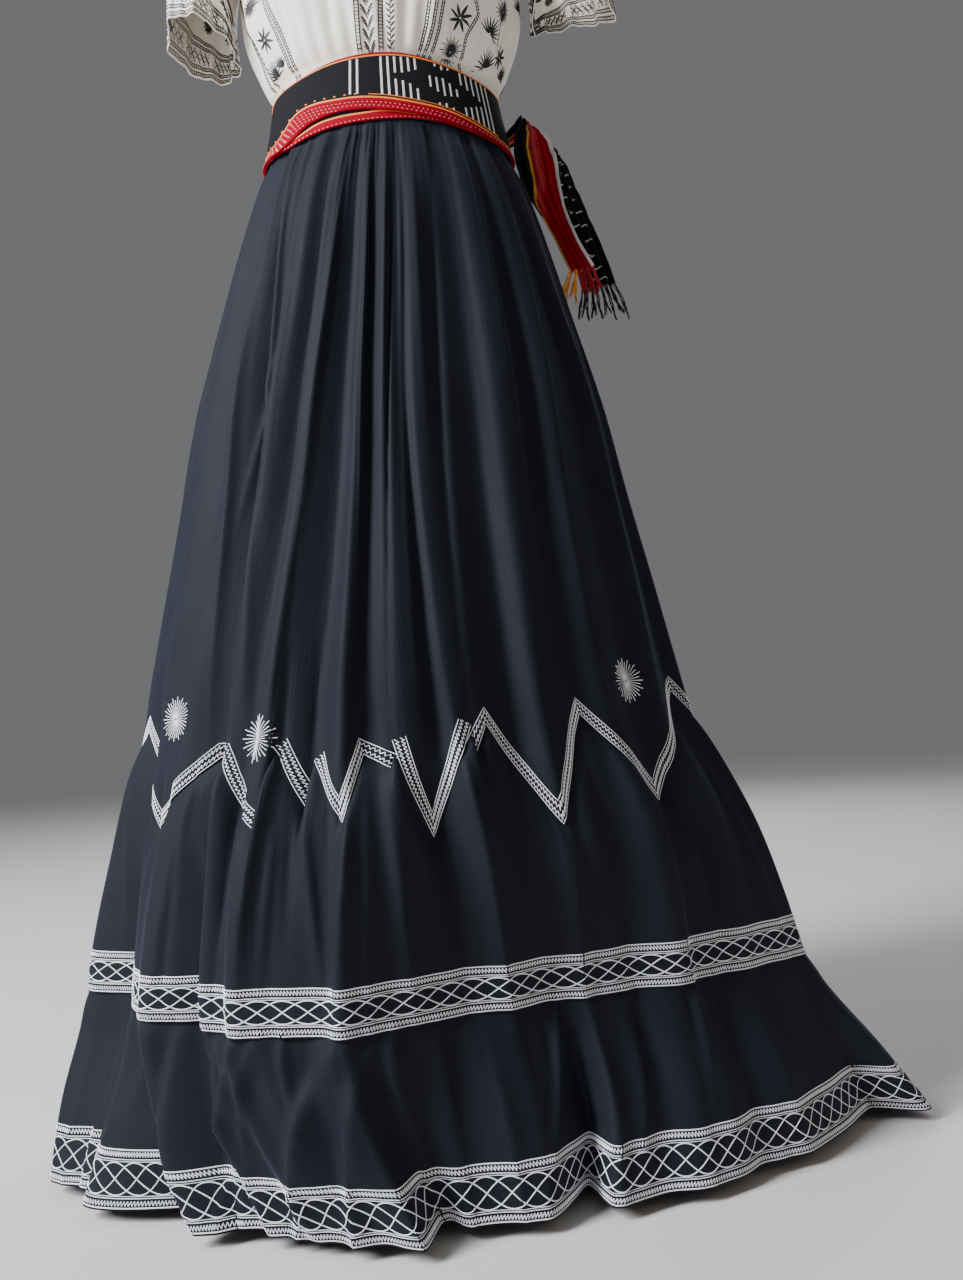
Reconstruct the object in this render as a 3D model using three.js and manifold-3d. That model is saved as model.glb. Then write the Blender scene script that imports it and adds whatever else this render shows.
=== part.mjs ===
// Traditional outfit as it is worn: an embroidered cotton blouse, a long gathered skirt of
// three tiers, and a woven sash wound twice round the waist, with its fringed ends at one hip.
// Millimetres. +Z is up, +X is to the viewer's right, the front faces -Y.
// The origin is the centre of the waist, level with the lower edge of the sash.
import * as THREE from "three";
import Module from "manifold-3d";
import { mergeVertices } from "three/addons/utils/BufferGeometryUtils.js";

const wasm = await Module();
wasm.setup();

// Cloth and seams
const CLOTH = 1.6; // wall of the cotton in the skirt and the blouse
const SASH_CLOTH = 2.0; // wall of the woven sash and of the skirt's waistband
const SEAM = 0.4; // gap between pieces that are sewn to each other
const SIDE_SEAM = 0.5; // the same at the side seams of the skirt
const LAP = 14; // how far a tier runs up behind the edge that covers it
const UNDER = CLOTH + SEAM + 0.45; // between the middles of two layers that lie together

// Skirt levels, as drops below the waist
const SKIRT_TOP = -6;
const HIP = 370;
const ZIGZAG = 640;
const BAND = 882; // lower edge of the middle tier
const HEM = 1043; // lower edge of the ruffle
const PEAK = 610; // upper corners of the zigzag edge on the back
const TIP = 716; // its lower points there
const BACK_CORNERS = 16; // spans between one corner and the next there
const COLUMN_WIDTH = 12.4; // cloth from one column of points to the next at the zigzag
const MIDDLE_PUFF = 12; // how far the middle tier stands out below the zigzag
const RUFFLE_PUFF = 14; // how much further the ruffle stands out below the band
const PUFF_RISE = 30; // drop over which most of a puff is reached

// Folds of the skirt
const WAIST_FOLD = 4; // depth of a fold just below the sash
const VALLEY_SHIFT = 0.3; // how far a full lean moves the valley from the fold's middle
const OVERHANG = 0.25; // how far a deep leaning fold hangs over its valley, as a share of its width
const FULL_DEPTH = 30; // depth at which a fold overhangs fully
const ZIGZAG_CREST = 0.3; // share of the band's crest inset that is reached at the zigzag
const WAIST_GATHERS = 48;
const TIER_GATHERS = 36;
const WAIST_GATHER_DEPTH = 1.2;
const TIER_GATHER_DEPTH = 3;
const TIER_GATHER_START = 12; // drop over which a tier's gathers reach their depth
const TIER_GATHER_REST = 0.35; // share of their depth that they keep down to the tier's edge
const GATHER_FADE = 90; // drop over which gathers die out below their seam
const GATHER_DRIFT = 1.3; // radians by which gathers run early and late round the skirt
const GATHER_DRIFTS = 5; // times that they do so in one round
const SASH_EDGE = 3; // drop at which the skirt comes out from under the sash
const BELOW_SASH = 18; // drop at which its folds have begun

// Sash, by its middle surface
const SASH_HEIGHT = 70;
const SASH_BOTTOM = { halfWidth: 139, halfDepth: 104.5 };
const SASH_TOP = { halfWidth: 127, halfDepth: 99 };
const TURN_STEP = SASH_CLOTH + SEAM + 0.1; // from the middle of one turn to the next
const TURN_SLANT = 7; // the outer turn climbs by twice this from the right hip to the left
const TURN_DIP = 2; // how far the inner turn reaches below the waist level
const TURN_PEEP = 4; // how far it shows above the outer turn at the front
const WAISTBAND_TOP = 46;
const WAISTBAND_BOTTOM = -SKIRT_TOP + SEAM;

// Blouse
const UNDERARM = 210;
const SHOULDER_TIP = { x: 176, z: 352 };
const NECK = { x: 100, z: 388, front: 320, frontY: 92, back: 376, backY: 70 };
const NECK_SHARE = 0.52; // share of the half panel's columns that end on the neckline
const ARMHOLE_REACH = 90; // how far the armhole's edge is pulled to the front and to the back
const BLOUSE_SIDES = 18; // spans from one side seam of a panel to the other
const BLOUSE_GATHERS = 22;
const BLOUSE_GATHER_DEPTH = 2.4;
const GATHERS_FROM = 76; // the gathers above the sash begin at this height,
const GATHERS_TO = 150; // and have died out at this one
const SHOULDER_GAP = 0.8; // from the shoulder seam's plane to the middle of a panel's slanted edge
const SIDE_GAP = 0.3; // the same at the side seams
const SLEEVE_SIDES = 20;
const SLEEVE_GATHERS = 7;
const SLEEVE_GATHER_DEPTH = 4;
const SLEEVE_BULGE = { out: 22, outTop: 12, up: 26, upTop: 24, round: 10 }; // of its middle
const SHOULDER_STEP = 1.0; // from the armhole's edge to the sleeve's first ring at the shoulder
const UNDERARM_STEP = 2.3; // the same at the underarm, where the two walls lie side by side

// Turns rows of numbers into objects with the named columns.
function table(columns, rows) {
  const names = columns.split(" ");
  return rows.map((row) => Object.fromEntries(names.map((name, i) => [name, row[i]])));
}

// Outline of the skirt without the puffs of its lower tiers.
const outline = table("drop halfWidth halfDepth shift", [
  [-6, 132.9, 99.1, 0],
  [3, 134.2, 99.7, 0],
  [18, 141.5, 107.5, 0],
  [40, 152.5, 118.5, 0],
  [100, 172, 141, 0],
  [200, 198, 168, 0],
  [300, 224, 195, 0],
  [400, 244, 213, 0],
  [500, 266, 233, 0],
  [580, 283, 248, 0],
  [640, 295, 257, 2],
  [680, 309, 267, 4],
  [750, 332, 277, 11],
  [820, 350, 280, 15],
  [880, 362, 280, 19],
  [920, 370, 272, 26],
  [980, 401, 270, 41],
  [1043, 432, 268, 57],
]);

// Folds, each from its ridge to the next one on the viewer's right, all the way round.
// Azimuths of the ridge in degrees from the front, insets of its crest, depths of the valley
// beyond it, and its lean: 1 puts the valley under the next ridge, -1 under its own.
const folds = table(
  "waist hip band hem crestBand crestHem deepHip deepZigzag deepBand deepHem lean",
  [
    [-84, -80, -77, -65, -3, -10, 9, 16, 40, 22, 0.6],
    [-66, -60, -62, -53, 30, -12, 6, 10, 6, 46, 0.7],
    [-45, -44, -48, -33, 5, -8, 14, 20, 28, 16, 0.7],
    [-27, -31, -34, -24, 8, 4, 9, 9, 5, 8, 0.5],
    [-15, -21, -28, -18, 0, 2, 12, 16, 6, 5, 0.4],
    [-5, -8, -12, -7, 6, -9, 9, 12, 4, 38, -0.5],
    [2, -1, 0, -2, 50, 25, 8, 10, 4, 6, 0.4],
    [10, 6, 12, 6, 64, 28, 14, 18, 8, 46, 0.6],
    [31, 26, 25, 14, 72, 42, 10, 12, 10, 5, 0.3],
    [46, 40, 42, 28, 52, 42, 9, 10, 8, 5, 0.3],
    [62, 60, 56, 43, 40, 62, 8, 12, 6, 42, 0.8],
    [80, 77, 72, 74, -3, 0, 10, 14, 22, 28, 0.5],
    [97, 98, 98, 96, 0, 0, 9, 14, 26, 34, -0.6],
    [112, 113, 112, 114, 4, -4, 8, 12, 22, 28, 0.6],
    [128, 126, 128, 128, 6, 6, 9, 16, 30, 40, -0.4],
    [143, 142, 143, 144, 2, -4, 10, 14, 24, 30, 0.5],
    [157, 158, 156, 158, 8, 4, 8, 12, 20, 34, -0.5],
    [170, 171, 171, 170, 4, -2, 9, 15, 28, 38, 0.6],
    [184, 186, 185, 184, 6, 5, 8, 12, 22, 30, 0.3],
    [198, 199, 200, 201, 2, -5, 9, 14, 30, 40, -0.6],
    [213, 214, 216, 217, 7, 2, 8, 12, 22, 30, 0.5],
    [229, 228, 231, 233, 3, -3, 9, 15, 28, 38, 0.4],
    [245, 244, 246, 250, 8, 4, 8, 12, 24, 30, -0.5],
    [260, 263, 264, 273, 0, -4, 9, 14, 26, 26, 0.5],
  ],
);
const SIDE_LEFT = -0.5; // fold coordinates of the two side seams
const SIDE_RIGHT = 11.5;

// Corners of the upper tier's zigzag edge on the front, by fold coordinate and drop.
const frontCorners = table("place drop", [
  [-0.5, 716],
  [0.12, 612],
  [1.12, 724],
  [2.52, 641],
  [4.05, 706],
  [4.3, 646],
  [5.0, 706],
  [5.55, 636],
  [6.3, 722],
  [7.2, 618],
  [8.03, 720],
  [8.6, 610],
  [9.64, 714],
  [10.55, 592],
]);

// Blouse body below the underarm, by its middle surface.
const torso = table("height halfWidth halfDepth", [
  [-90, 121, 89],
  [8, 130, 96.2],
  [46, 123.6, 93.4],
  [76, 120.2, 91.8],
  [84, 130, 98.5],
  [108, 142, 106.5],
  [150, 156.5, 114],
  [210, 160, 116],
]);

// Sleeve hems: the outer and the inner end of the opening, half its depth from front to back,
// and how far its front and back arch up between the two ends.
const sleeves = table("side outerX outerZ innerX innerZ halfDepth arch", [
  [-1, 243, 150, 168, 137, 63, 8],
  [1, 264, 158, 171, 146, 58, 40],
]);

// Middle lines of the two sash ends, from the sash to the fringe, with the width at each point
// and the azimuth, in degrees from the X axis, of the direction that the width is laid in.
const frontEnd = table("x y z width turn", [
  [133.2, 23.5, 38, 16, 105],
  [148, 24, 51, 19, 94],
  [160, 20, 55, 29, 66],
  [165, 15, 43, 41, 36],
  [165, 13, 25, 48, 20],
  [168, 12, 2, 50, 12],
  [174, 11, -30, 42, 8],
  [186, 8, -66, 30, 10],
  [198, 3, -100, 28, 12],
  [210, -4, -132, 32, 14],
]);
const backEnd = table("x y z width turn", [
  [124.2, 42.7, 38, 14, 118],
  [142, 50, 50, 17, 106],
  [160, 55, 57, 20, 92],
  [178, 57, 56, 24, 78],
  [192, 58, 42, 28, 64],
  [201, 58, 14, 31, 50],
  [209, 57, -20, 34, 36],
  [218, 55, -58, 38, 24],
  [228, 53, -100, 42, 15],
  [235, 52, -130, 44, 14],
]);
const END_PLEAT = 3; // depth of the pleats that a sash end is crumpled into
const END_COLUMNS = 8;
const FRINGE_HEAD = 7; // height of the strip that holds the roots of a fringe
const LOCK_RADIUS = 1.7;
const LOCK_STEPS = 3;

// Fringes: share of the sash end's width that each takes, its locks, their length, how far
// their tips drift to the viewer's right and how far they spread.
const fringes = table("name end from to locks length drift spread color", [
  ["sash_fringe_yellow", frontEnd, 0, 0.375, 6, 26, -2, 7, 0xd99a1e],
  ["sash_fringe_red", frontEnd, 0.5, 1, 9, 30, 4, 9, 0xa30f1c],
  ["sash_fringe_black", backEnd, 0, 1, 14, 42, 5, 16, 0x17171a],
]);

const cotton = { color: 0x15161b, roughness: 0.9, metalness: 0 };
const cream = { color: 0xe4dccb, roughness: 0.9, metalness: 0 };
const weave = { color: 0x17171a, roughness: 0.85, metalness: 0 };
const outfit = new THREE.Group();

function mesh(name, geometry, look) {
  const made = new THREE.Mesh(geometry, new THREE.MeshStandardMaterial(look));
  made.name = name;
  outfit.add(made);
}

const radians = THREE.MathUtils.degToRad;
const lerp = THREE.MathUtils.lerp;
const clamp = THREE.MathUtils.clamp;

// A smooth curve through the values given at rising places, held at both ends.
function smooth(at, values, place) {
  const last = at.length - 1;
  const x = clamp(place, at[0], at[last]);
  let i = 0;
  while (i < last - 1 && x > at[i + 1]) i += 1;
  const slope = (k) => {
    const a = Math.max(k - 1, 0);
    const b = Math.min(k + 1, last);
    return (values[b] - values[a]) / (at[b] - at[a]);
  };
  const width = at[i + 1] - at[i];
  const s = (x - at[i]) / width;
  const rise = s * s * (3 - 2 * s);
  const bend = width * s * (1 - s) * ((1 - s) * slope(i) - s * slope(i + 1));
  return lerp(values[i], values[i + 1], rise) + bend;
}

function column(rows, name) {
  return rows.map((row) => row[name]);
}

const outlineDrops = column(outline, "drop");
const outlineWidths = column(outline, "halfWidth");
const outlineDepths = column(outline, "halfDepth");
const outlineShifts = column(outline, "shift");

// One fold's azimuth, crest inset and depth at a drop below the waist.
function foldAt(fold, drop) {
  const azimuths = [fold.waist, fold.hip, fold.band, fold.hem];
  const crests = [0, 0, ZIGZAG_CREST * fold.crestBand, fold.crestBand, fold.crestHem];
  const depths = [0, WAIST_FOLD, fold.deepHip, fold.deepZigzag, fold.deepBand, fold.deepHem];
  return {
    azimuth: smooth([0, HIP, BAND, HEM], azimuths, drop),
    crest: smooth([0, HIP, ZIGZAG, BAND, HEM], crests, drop),
    depth: Math.max(smooth([SASH_EDGE, BELOW_SASH, HIP, ZIGZAG, BAND, HEM], depths, drop), 0),
  };
}

// The skirt's middle surface at fold coordinate u and a drop, pushed out by puff.
// Between two ridges the crest runs from one inset to the next and the valley is a smooth dip.
function skirtPoint(u, drop, puff) {
  const count = folds.length;
  const i = Math.floor(u);
  const s = u - i;
  const own = folds[((i % count) + count) % count];
  const following = folds[(((i + 1) % count) + count) % count];
  const here = foldAt(own, drop);
  const next = foldAt(following, drop);
  const turn = next.azimuth < here.azimuth ? 360 : 0;
  const valley = 0.5 + VALLEY_SHIFT * own.lean;
  const x = s < valley ? s / valley : (1 - s) / (1 - valley);
  const dip = x * x * (3 - 2 * x);
  const over = OVERHANG * own.lean * Math.min(1, (here.depth / FULL_DEPTH) ** 2) * dip;
  const angle = radians(lerp(here.azimuth, next.azimuth + turn, s + over));
  const inset = lerp(here.crest, next.crest, s) + here.depth * dip - puff;
  const halfWidth = smooth(outlineDrops, outlineWidths, drop) - inset;
  const halfDepth = smooth(outlineDrops, outlineDepths, drop) - inset;
  const shift = smooth(outlineDrops, outlineShifts, drop);
  return new THREE.Vector3(
    shift + halfWidth * Math.sin(angle),
    -halfDepth * Math.cos(angle),
    -drop,
  );
}

// Length of the cloth at the zigzag's level from the left side seam to each of many places.
const ARC_STEPS = 3200;
const arcPlaces = [SIDE_LEFT];
const arcs = [0];
for (let k = 1; k <= ARC_STEPS; k += 1) {
  const place = SIDE_LEFT + (folds.length * k) / ARC_STEPS;
  const before = skirtPoint(arcPlaces[k - 1], ZIGZAG, 0);
  arcs.push(arcs[k - 1] + skirtPoint(place, ZIGZAG, 0).distanceTo(before));
  arcPlaces.push(place);
}
const ROUND = arcs[ARC_STEPS];

// The value in one rising list that goes with a value in the other.
function matching(from, to, value) {
  let k = 0;
  while (k < from.length - 2 && from[k + 1] < value) k += 1;
  return lerp(to[k], to[k + 1], (value - from[k]) / (from[k + 1] - from[k]));
}

// Columns of points through a run of corners, with the drop of the zigzag edge at each.
function columnsThrough(corners) {
  return corners.slice(0, -1).flatMap((corner, k) => {
    const next = corners[k + 1];
    const count = Math.max(2, Math.round((next.arc - corner.arc) / COLUMN_WIDTH));
    return Array.from({ length: count }, (_, c) => {
      const arc = lerp(corner.arc, next.arc, c / count);
      const edge = lerp(corner.drop, next.drop, c / count);
      return { place: matching(arcs, arcPlaces, arc), arc, edge };
    });
  });
}

const seamArc = matching(arcPlaces, arcs, SIDE_RIGHT);
const backCorners = Array.from({ length: BACK_CORNERS + 1 }, (_, k) => ({
  arc: lerp(seamArc, ROUND, k / BACK_CORNERS),
  drop: k % 2 ? PEAK : TIP,
}));
const placedCorners = frontCorners.map(({ place, drop }) => ({
  arc: matching(arcPlaces, arcs, place),
  drop,
}));
const frontColumns = columnsThrough([...placedCorners, backCorners[0]]);
const backColumns = columnsThrough(backCorners);
const columns = [...frontColumns, ...backColumns];

// Gathers: a wave round the cloth with a slow drift in its spacing.
function gather(arc, count) {
  const round = (2 * Math.PI * arc) / ROUND;
  return Math.sin(count * round + GATHER_DRIFT * Math.sin(GATHER_DRIFTS * round));
}

function tierGather(arc, below) {
  const start = 1 - Math.exp(-below / TIER_GATHER_START);
  const fade = lerp(TIER_GATHER_REST, 1, Math.exp(-below / GATHER_FADE));
  return TIER_GATHER_DEPTH * gather(arc, TIER_GATHERS) * start * fade;
}

// Unit normals of a grid of points, rows down and columns to the viewer's right at the front.
function normalsOf(grid, closed) {
  const rows = grid.length;
  const count = grid[0].length;
  const wrap = (c) => (closed ? (c + count) % count : clamp(c, 0, count - 1));
  return grid.map((row, r) =>
    row.map((_, c) => {
      const across = new THREE.Vector3().subVectors(row[wrap(c + 1)], row[wrap(c - 1)]);
      const lower = grid[Math.min(r + 1, rows - 1)][c];
      const upper = grid[Math.max(r - 1, 0)][c];
      const down = new THREE.Vector3().subVectors(lower, upper);
      return down.cross(across).normalize();
    }),
  );
}

function moved(point, direction, distance) {
  return point.clone().addScaledVector(direction, distance);
}

// Outer and inner points of a wall on both sides of a grid of middle points.
function skins(grid, thickness, closed) {
  const normals = normalsOf(grid, closed);
  const side = (sign) =>
    grid.map((row, r) => row.map((p, c) => moved(p, normals[r][c], (sign * thickness) / 2)));
  return { outer: side(1), inner: side(-1) };
}

// Columns from one seam to the next, with the end columns drawn in by half the seam's gap.
function panel(skin, from, to) {
  const count = skin[0].length;
  return skin.map((row, r) => {
    const part = [];
    for (let c = from; c <= to; c += 1) part.push(row[c % count].clone());
    const last = part.length - 1;
    const draw = (end, beside) => {
      const c = (from + end) % count;
      const lower = skin[Math.min(r + 1, skin.length - 1)][c];
      const seam = new THREE.Vector3().subVectors(lower, skin[Math.max(r - 1, 0)][c]);
      const inward = new THREE.Vector3().subVectors(part[beside], part[end]);
      inward.projectOnPlane(seam.normalize()).normalize();
      part[end].addScaledVector(inward, SIDE_SEAM / 2);
    };
    draw(0, 1);
    draw(last, last - 1);
    return part;
  });
}

// A closed wall between an outer and an inner skin of the same grid.
function wall(outer, inner, closed) {
  const rows = outer.length;
  const count = outer[0].length;
  const points = [];
  for (const skin of [outer, inner])
    for (const row of skin) for (const p of row) points.push(p.x, p.y, p.z);
  const at = (layer, r, c) => layer * rows * count + r * count + (c % count);
  const faces = [];
  const quad = (a, b, c, d) => faces.push(a, b, c, a, c, d);
  const spans = closed ? count : count - 1;
  for (let c = 0; c < spans; c += 1) {
    for (let r = 0; r < rows - 1; r += 1) {
      quad(at(0, r, c), at(0, r + 1, c), at(0, r + 1, c + 1), at(0, r, c + 1));
      quad(at(1, r, c), at(1, r, c + 1), at(1, r + 1, c + 1), at(1, r + 1, c));
    }
    quad(at(1, 0, c), at(0, 0, c), at(0, 0, c + 1), at(1, 0, c + 1));
    const r = rows - 1;
    quad(at(0, r, c), at(1, r, c), at(1, r, c + 1), at(0, r, c + 1));
  }
  if (!closed) {
    const e = count - 1;
    for (let r = 0; r < rows - 1; r += 1) {
      quad(at(0, r, 0), at(1, r, 0), at(1, r + 1, 0), at(0, r + 1, 0));
      quad(at(1, r, e), at(0, r, e), at(0, r + 1, e), at(1, r + 1, e));
    }
  }
  const geometry = new THREE.BufferGeometry();
  geometry.setAttribute("position", new THREE.Float32BufferAttribute(points, 3));
  geometry.setIndex(faces);
  return geometry;
}

function sheetWall(grid, thickness, closed) {
  const { outer, inner } = skins(grid, thickness, closed);
  return wall(outer, inner, closed);
}

// Front and back panels of a ring of cloth, parted at the two side seams.
function frontAndBack(name, grid, look) {
  const { outer, inner } = skins(grid, CLOTH, true);
  const seam = frontColumns.length;
  for (const [half, from, to] of [["front", 0, seam], ["back", seam, columns.length]]) {
    const cut = wall(panel(outer, from, to), panel(inner, from, to), false);
    mesh(name + "_" + half, cut, look);
  }
}

// Two rows that lie behind the lower edge of the tier above, a lap up and at the edge itself.
function lappedRows(above) {
  const normals = normalsOf(above, true);
  const last = above.length - 1;
  const edge = above[last].map((p, c) => moved(p, normals[last][c], -UNDER));
  const lap = above[last].map((p, c) => {
    const beside = above[last - 1][c];
    const share = LAP / (beside.z - p.z);
    const normal = normals[last][c].clone().lerp(normals[last - 1][c], share).normalize();
    return moved(p.clone().lerp(beside, share), normal, -UNDER);
  });
  return [lap, edge];
}

// Upper tier: gathered into the waistband, falling to its zigzag edge.
const upperRows = [SKIRT_TOP, SASH_EDGE, BELOW_SASH, 80, 200, 390];
const upperTier = [
  ...upperRows.map((drop) =>
    columns.map(({ place, arc }) => {
      const fade = drop < BELOW_SASH ? 0 : Math.exp(-drop / GATHER_FADE);
      const dip = WAIST_GATHER_DEPTH * (gather(arc, WAIST_GATHERS) - 1);
      return skirtPoint(place, drop, dip * fade);
    }),
  ),
  columns.map(({ place, edge }) => skirtPoint(place, edge, 0)),
];
frontAndBack("skirt_upper", upperTier, cotton);

// Middle tier: sewn behind the zigzag edge, puffed out below it, down to the band's lower edge.
function risen(puff, below) {
  return puff * (1 - Math.exp(-below / PUFF_RISE));
}
const middleShares = [0.16, 0.5, 1];
const middleTier = [
  ...lappedRows(upperTier),
  ...middleShares.map((share) =>
    columns.map(({ place, arc, edge }) => {
      const below = share * (BAND - edge);
      return skirtPoint(place, edge + below, risen(MIDDLE_PUFF, below) + tierGather(arc, below));
    }),
  ),
];
frontAndBack("skirt_middle", middleTier, cotton);

// Ruffle: sewn behind the band, with the widest folds, down to the hem.
const RUFFLE_OFFSET = 18; // its gathers are shifted by this much cloth
const ruffleRows = [26, 84, HEM - BAND];
const ruffle = [
  ...lappedRows(middleTier),
  ...ruffleRows.map((below) =>
    columns.map(({ place, arc, edge }) => {
      const start = risen(MIDDLE_PUFF, BAND - edge) - UNDER;
      const puff = risen(RUFFLE_PUFF, below) + tierGather(arc + RUFFLE_OFFSET, below);
      return skirtPoint(place, BAND + below, start + puff);
    }),
  ),
];
frontAndBack("skirt_ruffle", ruffle, cotton);

// A ring round the waist at a height, drawn in by inset from the sash's outer turn.
function waistPoint(angle, height, inset) {
  const share = height / SASH_HEIGHT;
  const halfWidth = lerp(SASH_BOTTOM.halfWidth, SASH_TOP.halfWidth, share) - inset;
  const halfDepth = lerp(SASH_BOTTOM.halfDepth, SASH_TOP.halfDepth, share) - inset;
  const x = halfWidth * Math.sin(angle);
  return new THREE.Vector3(x, -halfDepth * Math.cos(angle), height);
}

// A closed band round the waist whose edges are functions of the azimuth.
function waistRing(name, inset, sides, upper, lower, look) {
  const angles = Array.from({ length: sides }, (_, k) => (2 * Math.PI * (k + 0.5)) / sides);
  const grid = [upper, lower].map((edge) =>
    angles.map((angle) => waistPoint(angle, edge(angle), inset)),
  );
  mesh(name, sheetWall(grid, SASH_CLOTH, true), look);
}

const SASH_SIDES = 40;
waistRing(
  "skirt_waistband",
  2 * TURN_STEP,
  SASH_SIDES,
  () => WAISTBAND_TOP,
  () => WAISTBAND_BOTTOM,
  cotton,
);
waistRing(
  "sash_inner_turn",
  TURN_STEP,
  SASH_SIDES,
  (angle) => SASH_HEIGHT + TURN_PEEP * Math.max(Math.cos(angle + 0.1), -0.5),
  () => -TURN_DIP,
  weave,
);
waistRing(
  "sash_outer_turn",
  0,
  SASH_SIDES,
  () => SASH_HEIGHT,
  (angle) => TURN_SLANT * (1 - Math.sin(angle)),
  weave,
);

// Blouse panels. A column runs from the tail up over the chest or the back to its neckline or
// shoulder seam, and the outermost columns are the side seam and the armhole's edge.
const torsoHeights = column(torso, "height");
const torsoWidths = column(torso, "halfWidth");
const torsoDepths = column(torso, "halfDepth");

function torsoPoint(across, height) {
  const angle = (across * Math.PI) / 2;
  const near = clamp((GATHERS_TO - height) / 40, 0, 1) * clamp((height - GATHERS_FROM) / 8, 0, 1);
  const wave = (Math.cos(2 * BLOUSE_GATHERS * angle) - 1) / 2;
  const dip = BLOUSE_GATHER_DEPTH * near * wave * Math.cos(angle);
  const halfWidth = smooth(torsoHeights, torsoWidths, height) + dip;
  const halfDepth = smooth(torsoHeights, torsoDepths, height) + dip;
  return new THREE.Vector3(halfWidth * Math.sin(angle), -halfDepth * Math.cos(angle), height);
}

// The upper end of a column: on the neckline near the middle, on the shoulder seam beyond it.
function topPoint(across, neckZ, neckY) {
  const side = Math.sign(across);
  const far = Math.abs(across);
  if (far < NECK_SHARE) {
    const angle = (far / NECK_SHARE) * (Math.PI / 2);
    const z = lerp(NECK.z, neckZ, Math.cos(angle) ** 1.5);
    return new THREE.Vector3(side * NECK.x * Math.sin(angle), -neckY * Math.cos(angle), z);
  }
  const share = (far - NECK_SHARE) / (1 - NECK_SHARE);
  const x = side * lerp(NECK.x, SHOULDER_TIP.x, share);
  return new THREE.Vector3(x, 0, lerp(NECK.z, SHOULDER_TIP.z, share));
}

// A quadratic curve from the underarm level over the chest or the back.
function yokePoint(across, share, neckZ, neckY) {
  const from = torsoPoint(across, UNDERARM);
  const to = topPoint(across, neckZ, neckY);
  const pull = Math.max(-from.y, ARMHOLE_REACH * Math.abs(across) ** 3);
  const over = new THREE.Vector3(lerp(from.x, to.x, 0.4), -pull, lerp(from.z, to.z, 0.72));
  const early = (1 - share) * (1 - share);
  const late = share * share;
  const point = from.multiplyScalar(early).addScaledVector(over, 2 * share * (1 - share));
  return point.addScaledVector(to, late);
}

const torsoRows = torsoHeights.slice(0, -1).reverse();
const yokeShares = [1, 0.78, 0.56, 0.36, 0.17, 0];
function blousePanel(name, facing, neckZ, neckY) {
  const draw = (p, gap) => new THREE.Vector3(p.x, facing * Math.min(p.y, -gap), p.z);
  const shares = Array.from(
    { length: BLOUSE_SIDES + 1 },
    (_, k) => facing * ((2 * k) / BLOUSE_SIDES - 1),
  );
  const yoke = yokeShares.map((rise) =>
    shares.map((share) => draw(yokePoint(share, rise, neckZ, neckY), SHOULDER_GAP)),
  );
  const body = torsoRows.map((height) =>
    shares.map((share) => draw(torsoPoint(share, height), SIDE_GAP)),
  );
  mesh(name, sheetWall([...yoke, ...body], CLOTH, false), cream);
}
blousePanel("blouse_front", 1, NECK.front, NECK.frontY);
blousePanel("blouse_back", -1, NECK.back, NECK.backY);

// Sleeves: from the armhole's edge out over the upper arm to a wide hem above the elbow.
function armholePoint(side, around) {
  const front = around <= 0.5;
  const share = front ? 1 - 2 * around : 2 * around - 1;
  const [neckZ, neckY] = front ? [NECK.front, NECK.frontY] : [NECK.back, NECK.backY];
  const edge = yokePoint(side, share, neckZ, neckY);
  const step = lerp(SHOULDER_STEP, UNDERARM_STEP, Math.sin(Math.PI * around) ** 2);
  return new THREE.Vector3(edge.x + side * step, front ? edge.y : -edge.y, edge.z);
}

function sleeve(name, size) {
  const { side } = size;
  const outer = new THREE.Vector3(side * size.outerX, 0, size.outerZ);
  const inner = new THREE.Vector3(side * size.innerX, 0, size.innerZ);
  const centre = outer.clone().lerp(inner, 0.5);
  const reach = outer.clone().sub(centre);
  const shares = [0, 0.16, 0.36, 0.58, 0.8, 1];
  const grid = shares.map((share) =>
    Array.from({ length: SLEEVE_SIDES }, (_, k) => {
      const around = side > 0 ? (SLEEVE_SIDES - k) / SLEEVE_SIDES % 1 : k / SLEEVE_SIDES;
      const angle = 2 * Math.PI * around;
      const from = armholePoint(side, around);
      const wave = 1 + (SLEEVE_GATHER_DEPTH / size.halfDepth) * Math.cos(SLEEVE_GATHERS * angle);
      const to = centre.clone().addScaledVector(reach, Math.cos(angle) * wave);
      to.y -= size.halfDepth * Math.sin(angle) * wave;
      to.z += size.arch * Math.abs(Math.sin(angle));
      const over = from.clone().lerp(to, 0.45);
      over.x += side * (SLEEVE_BULGE.out + SLEEVE_BULGE.outTop * Math.cos(angle));
      over.y -= SLEEVE_BULGE.round * Math.sin(angle);
      over.z += SLEEVE_BULGE.up + SLEEVE_BULGE.upTop * Math.cos(angle);
      const early = (1 - share) * (1 - share);
      const point = from.multiplyScalar(early);
      point.addScaledVector(over, 2 * share * (1 - share));
      return point.addScaledVector(to, share * share);
    }),
  );
  mesh(name, sheetWall(grid, CLOTH, true), cream);
}
sleeve("blouse_sleeve_left", sleeves[0]);
sleeve("blouse_sleeve_right", sleeves[1]);

// Frames along a sash end: its tangent, the direction across it and the one out of its face.
function endFrame(rows, r) {
  const turn = radians(rows[r].turn);
  const laid = new THREE.Vector3(Math.cos(turn), Math.sin(turn), 0);
  const point = new THREE.Vector3(rows[r].x, rows[r].y, rows[r].z);
  const a = rows[Math.max(r - 1, 0)];
  const b = rows[Math.min(r + 1, rows.length - 1)];
  const along = new THREE.Vector3(b.x - a.x, b.y - a.y, b.z - a.z).normalize();
  const out = new THREE.Vector3().crossVectors(along, laid).normalize();
  const across = new THREE.Vector3().crossVectors(out, along).normalize();
  return { point, along, out, across };
}

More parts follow.
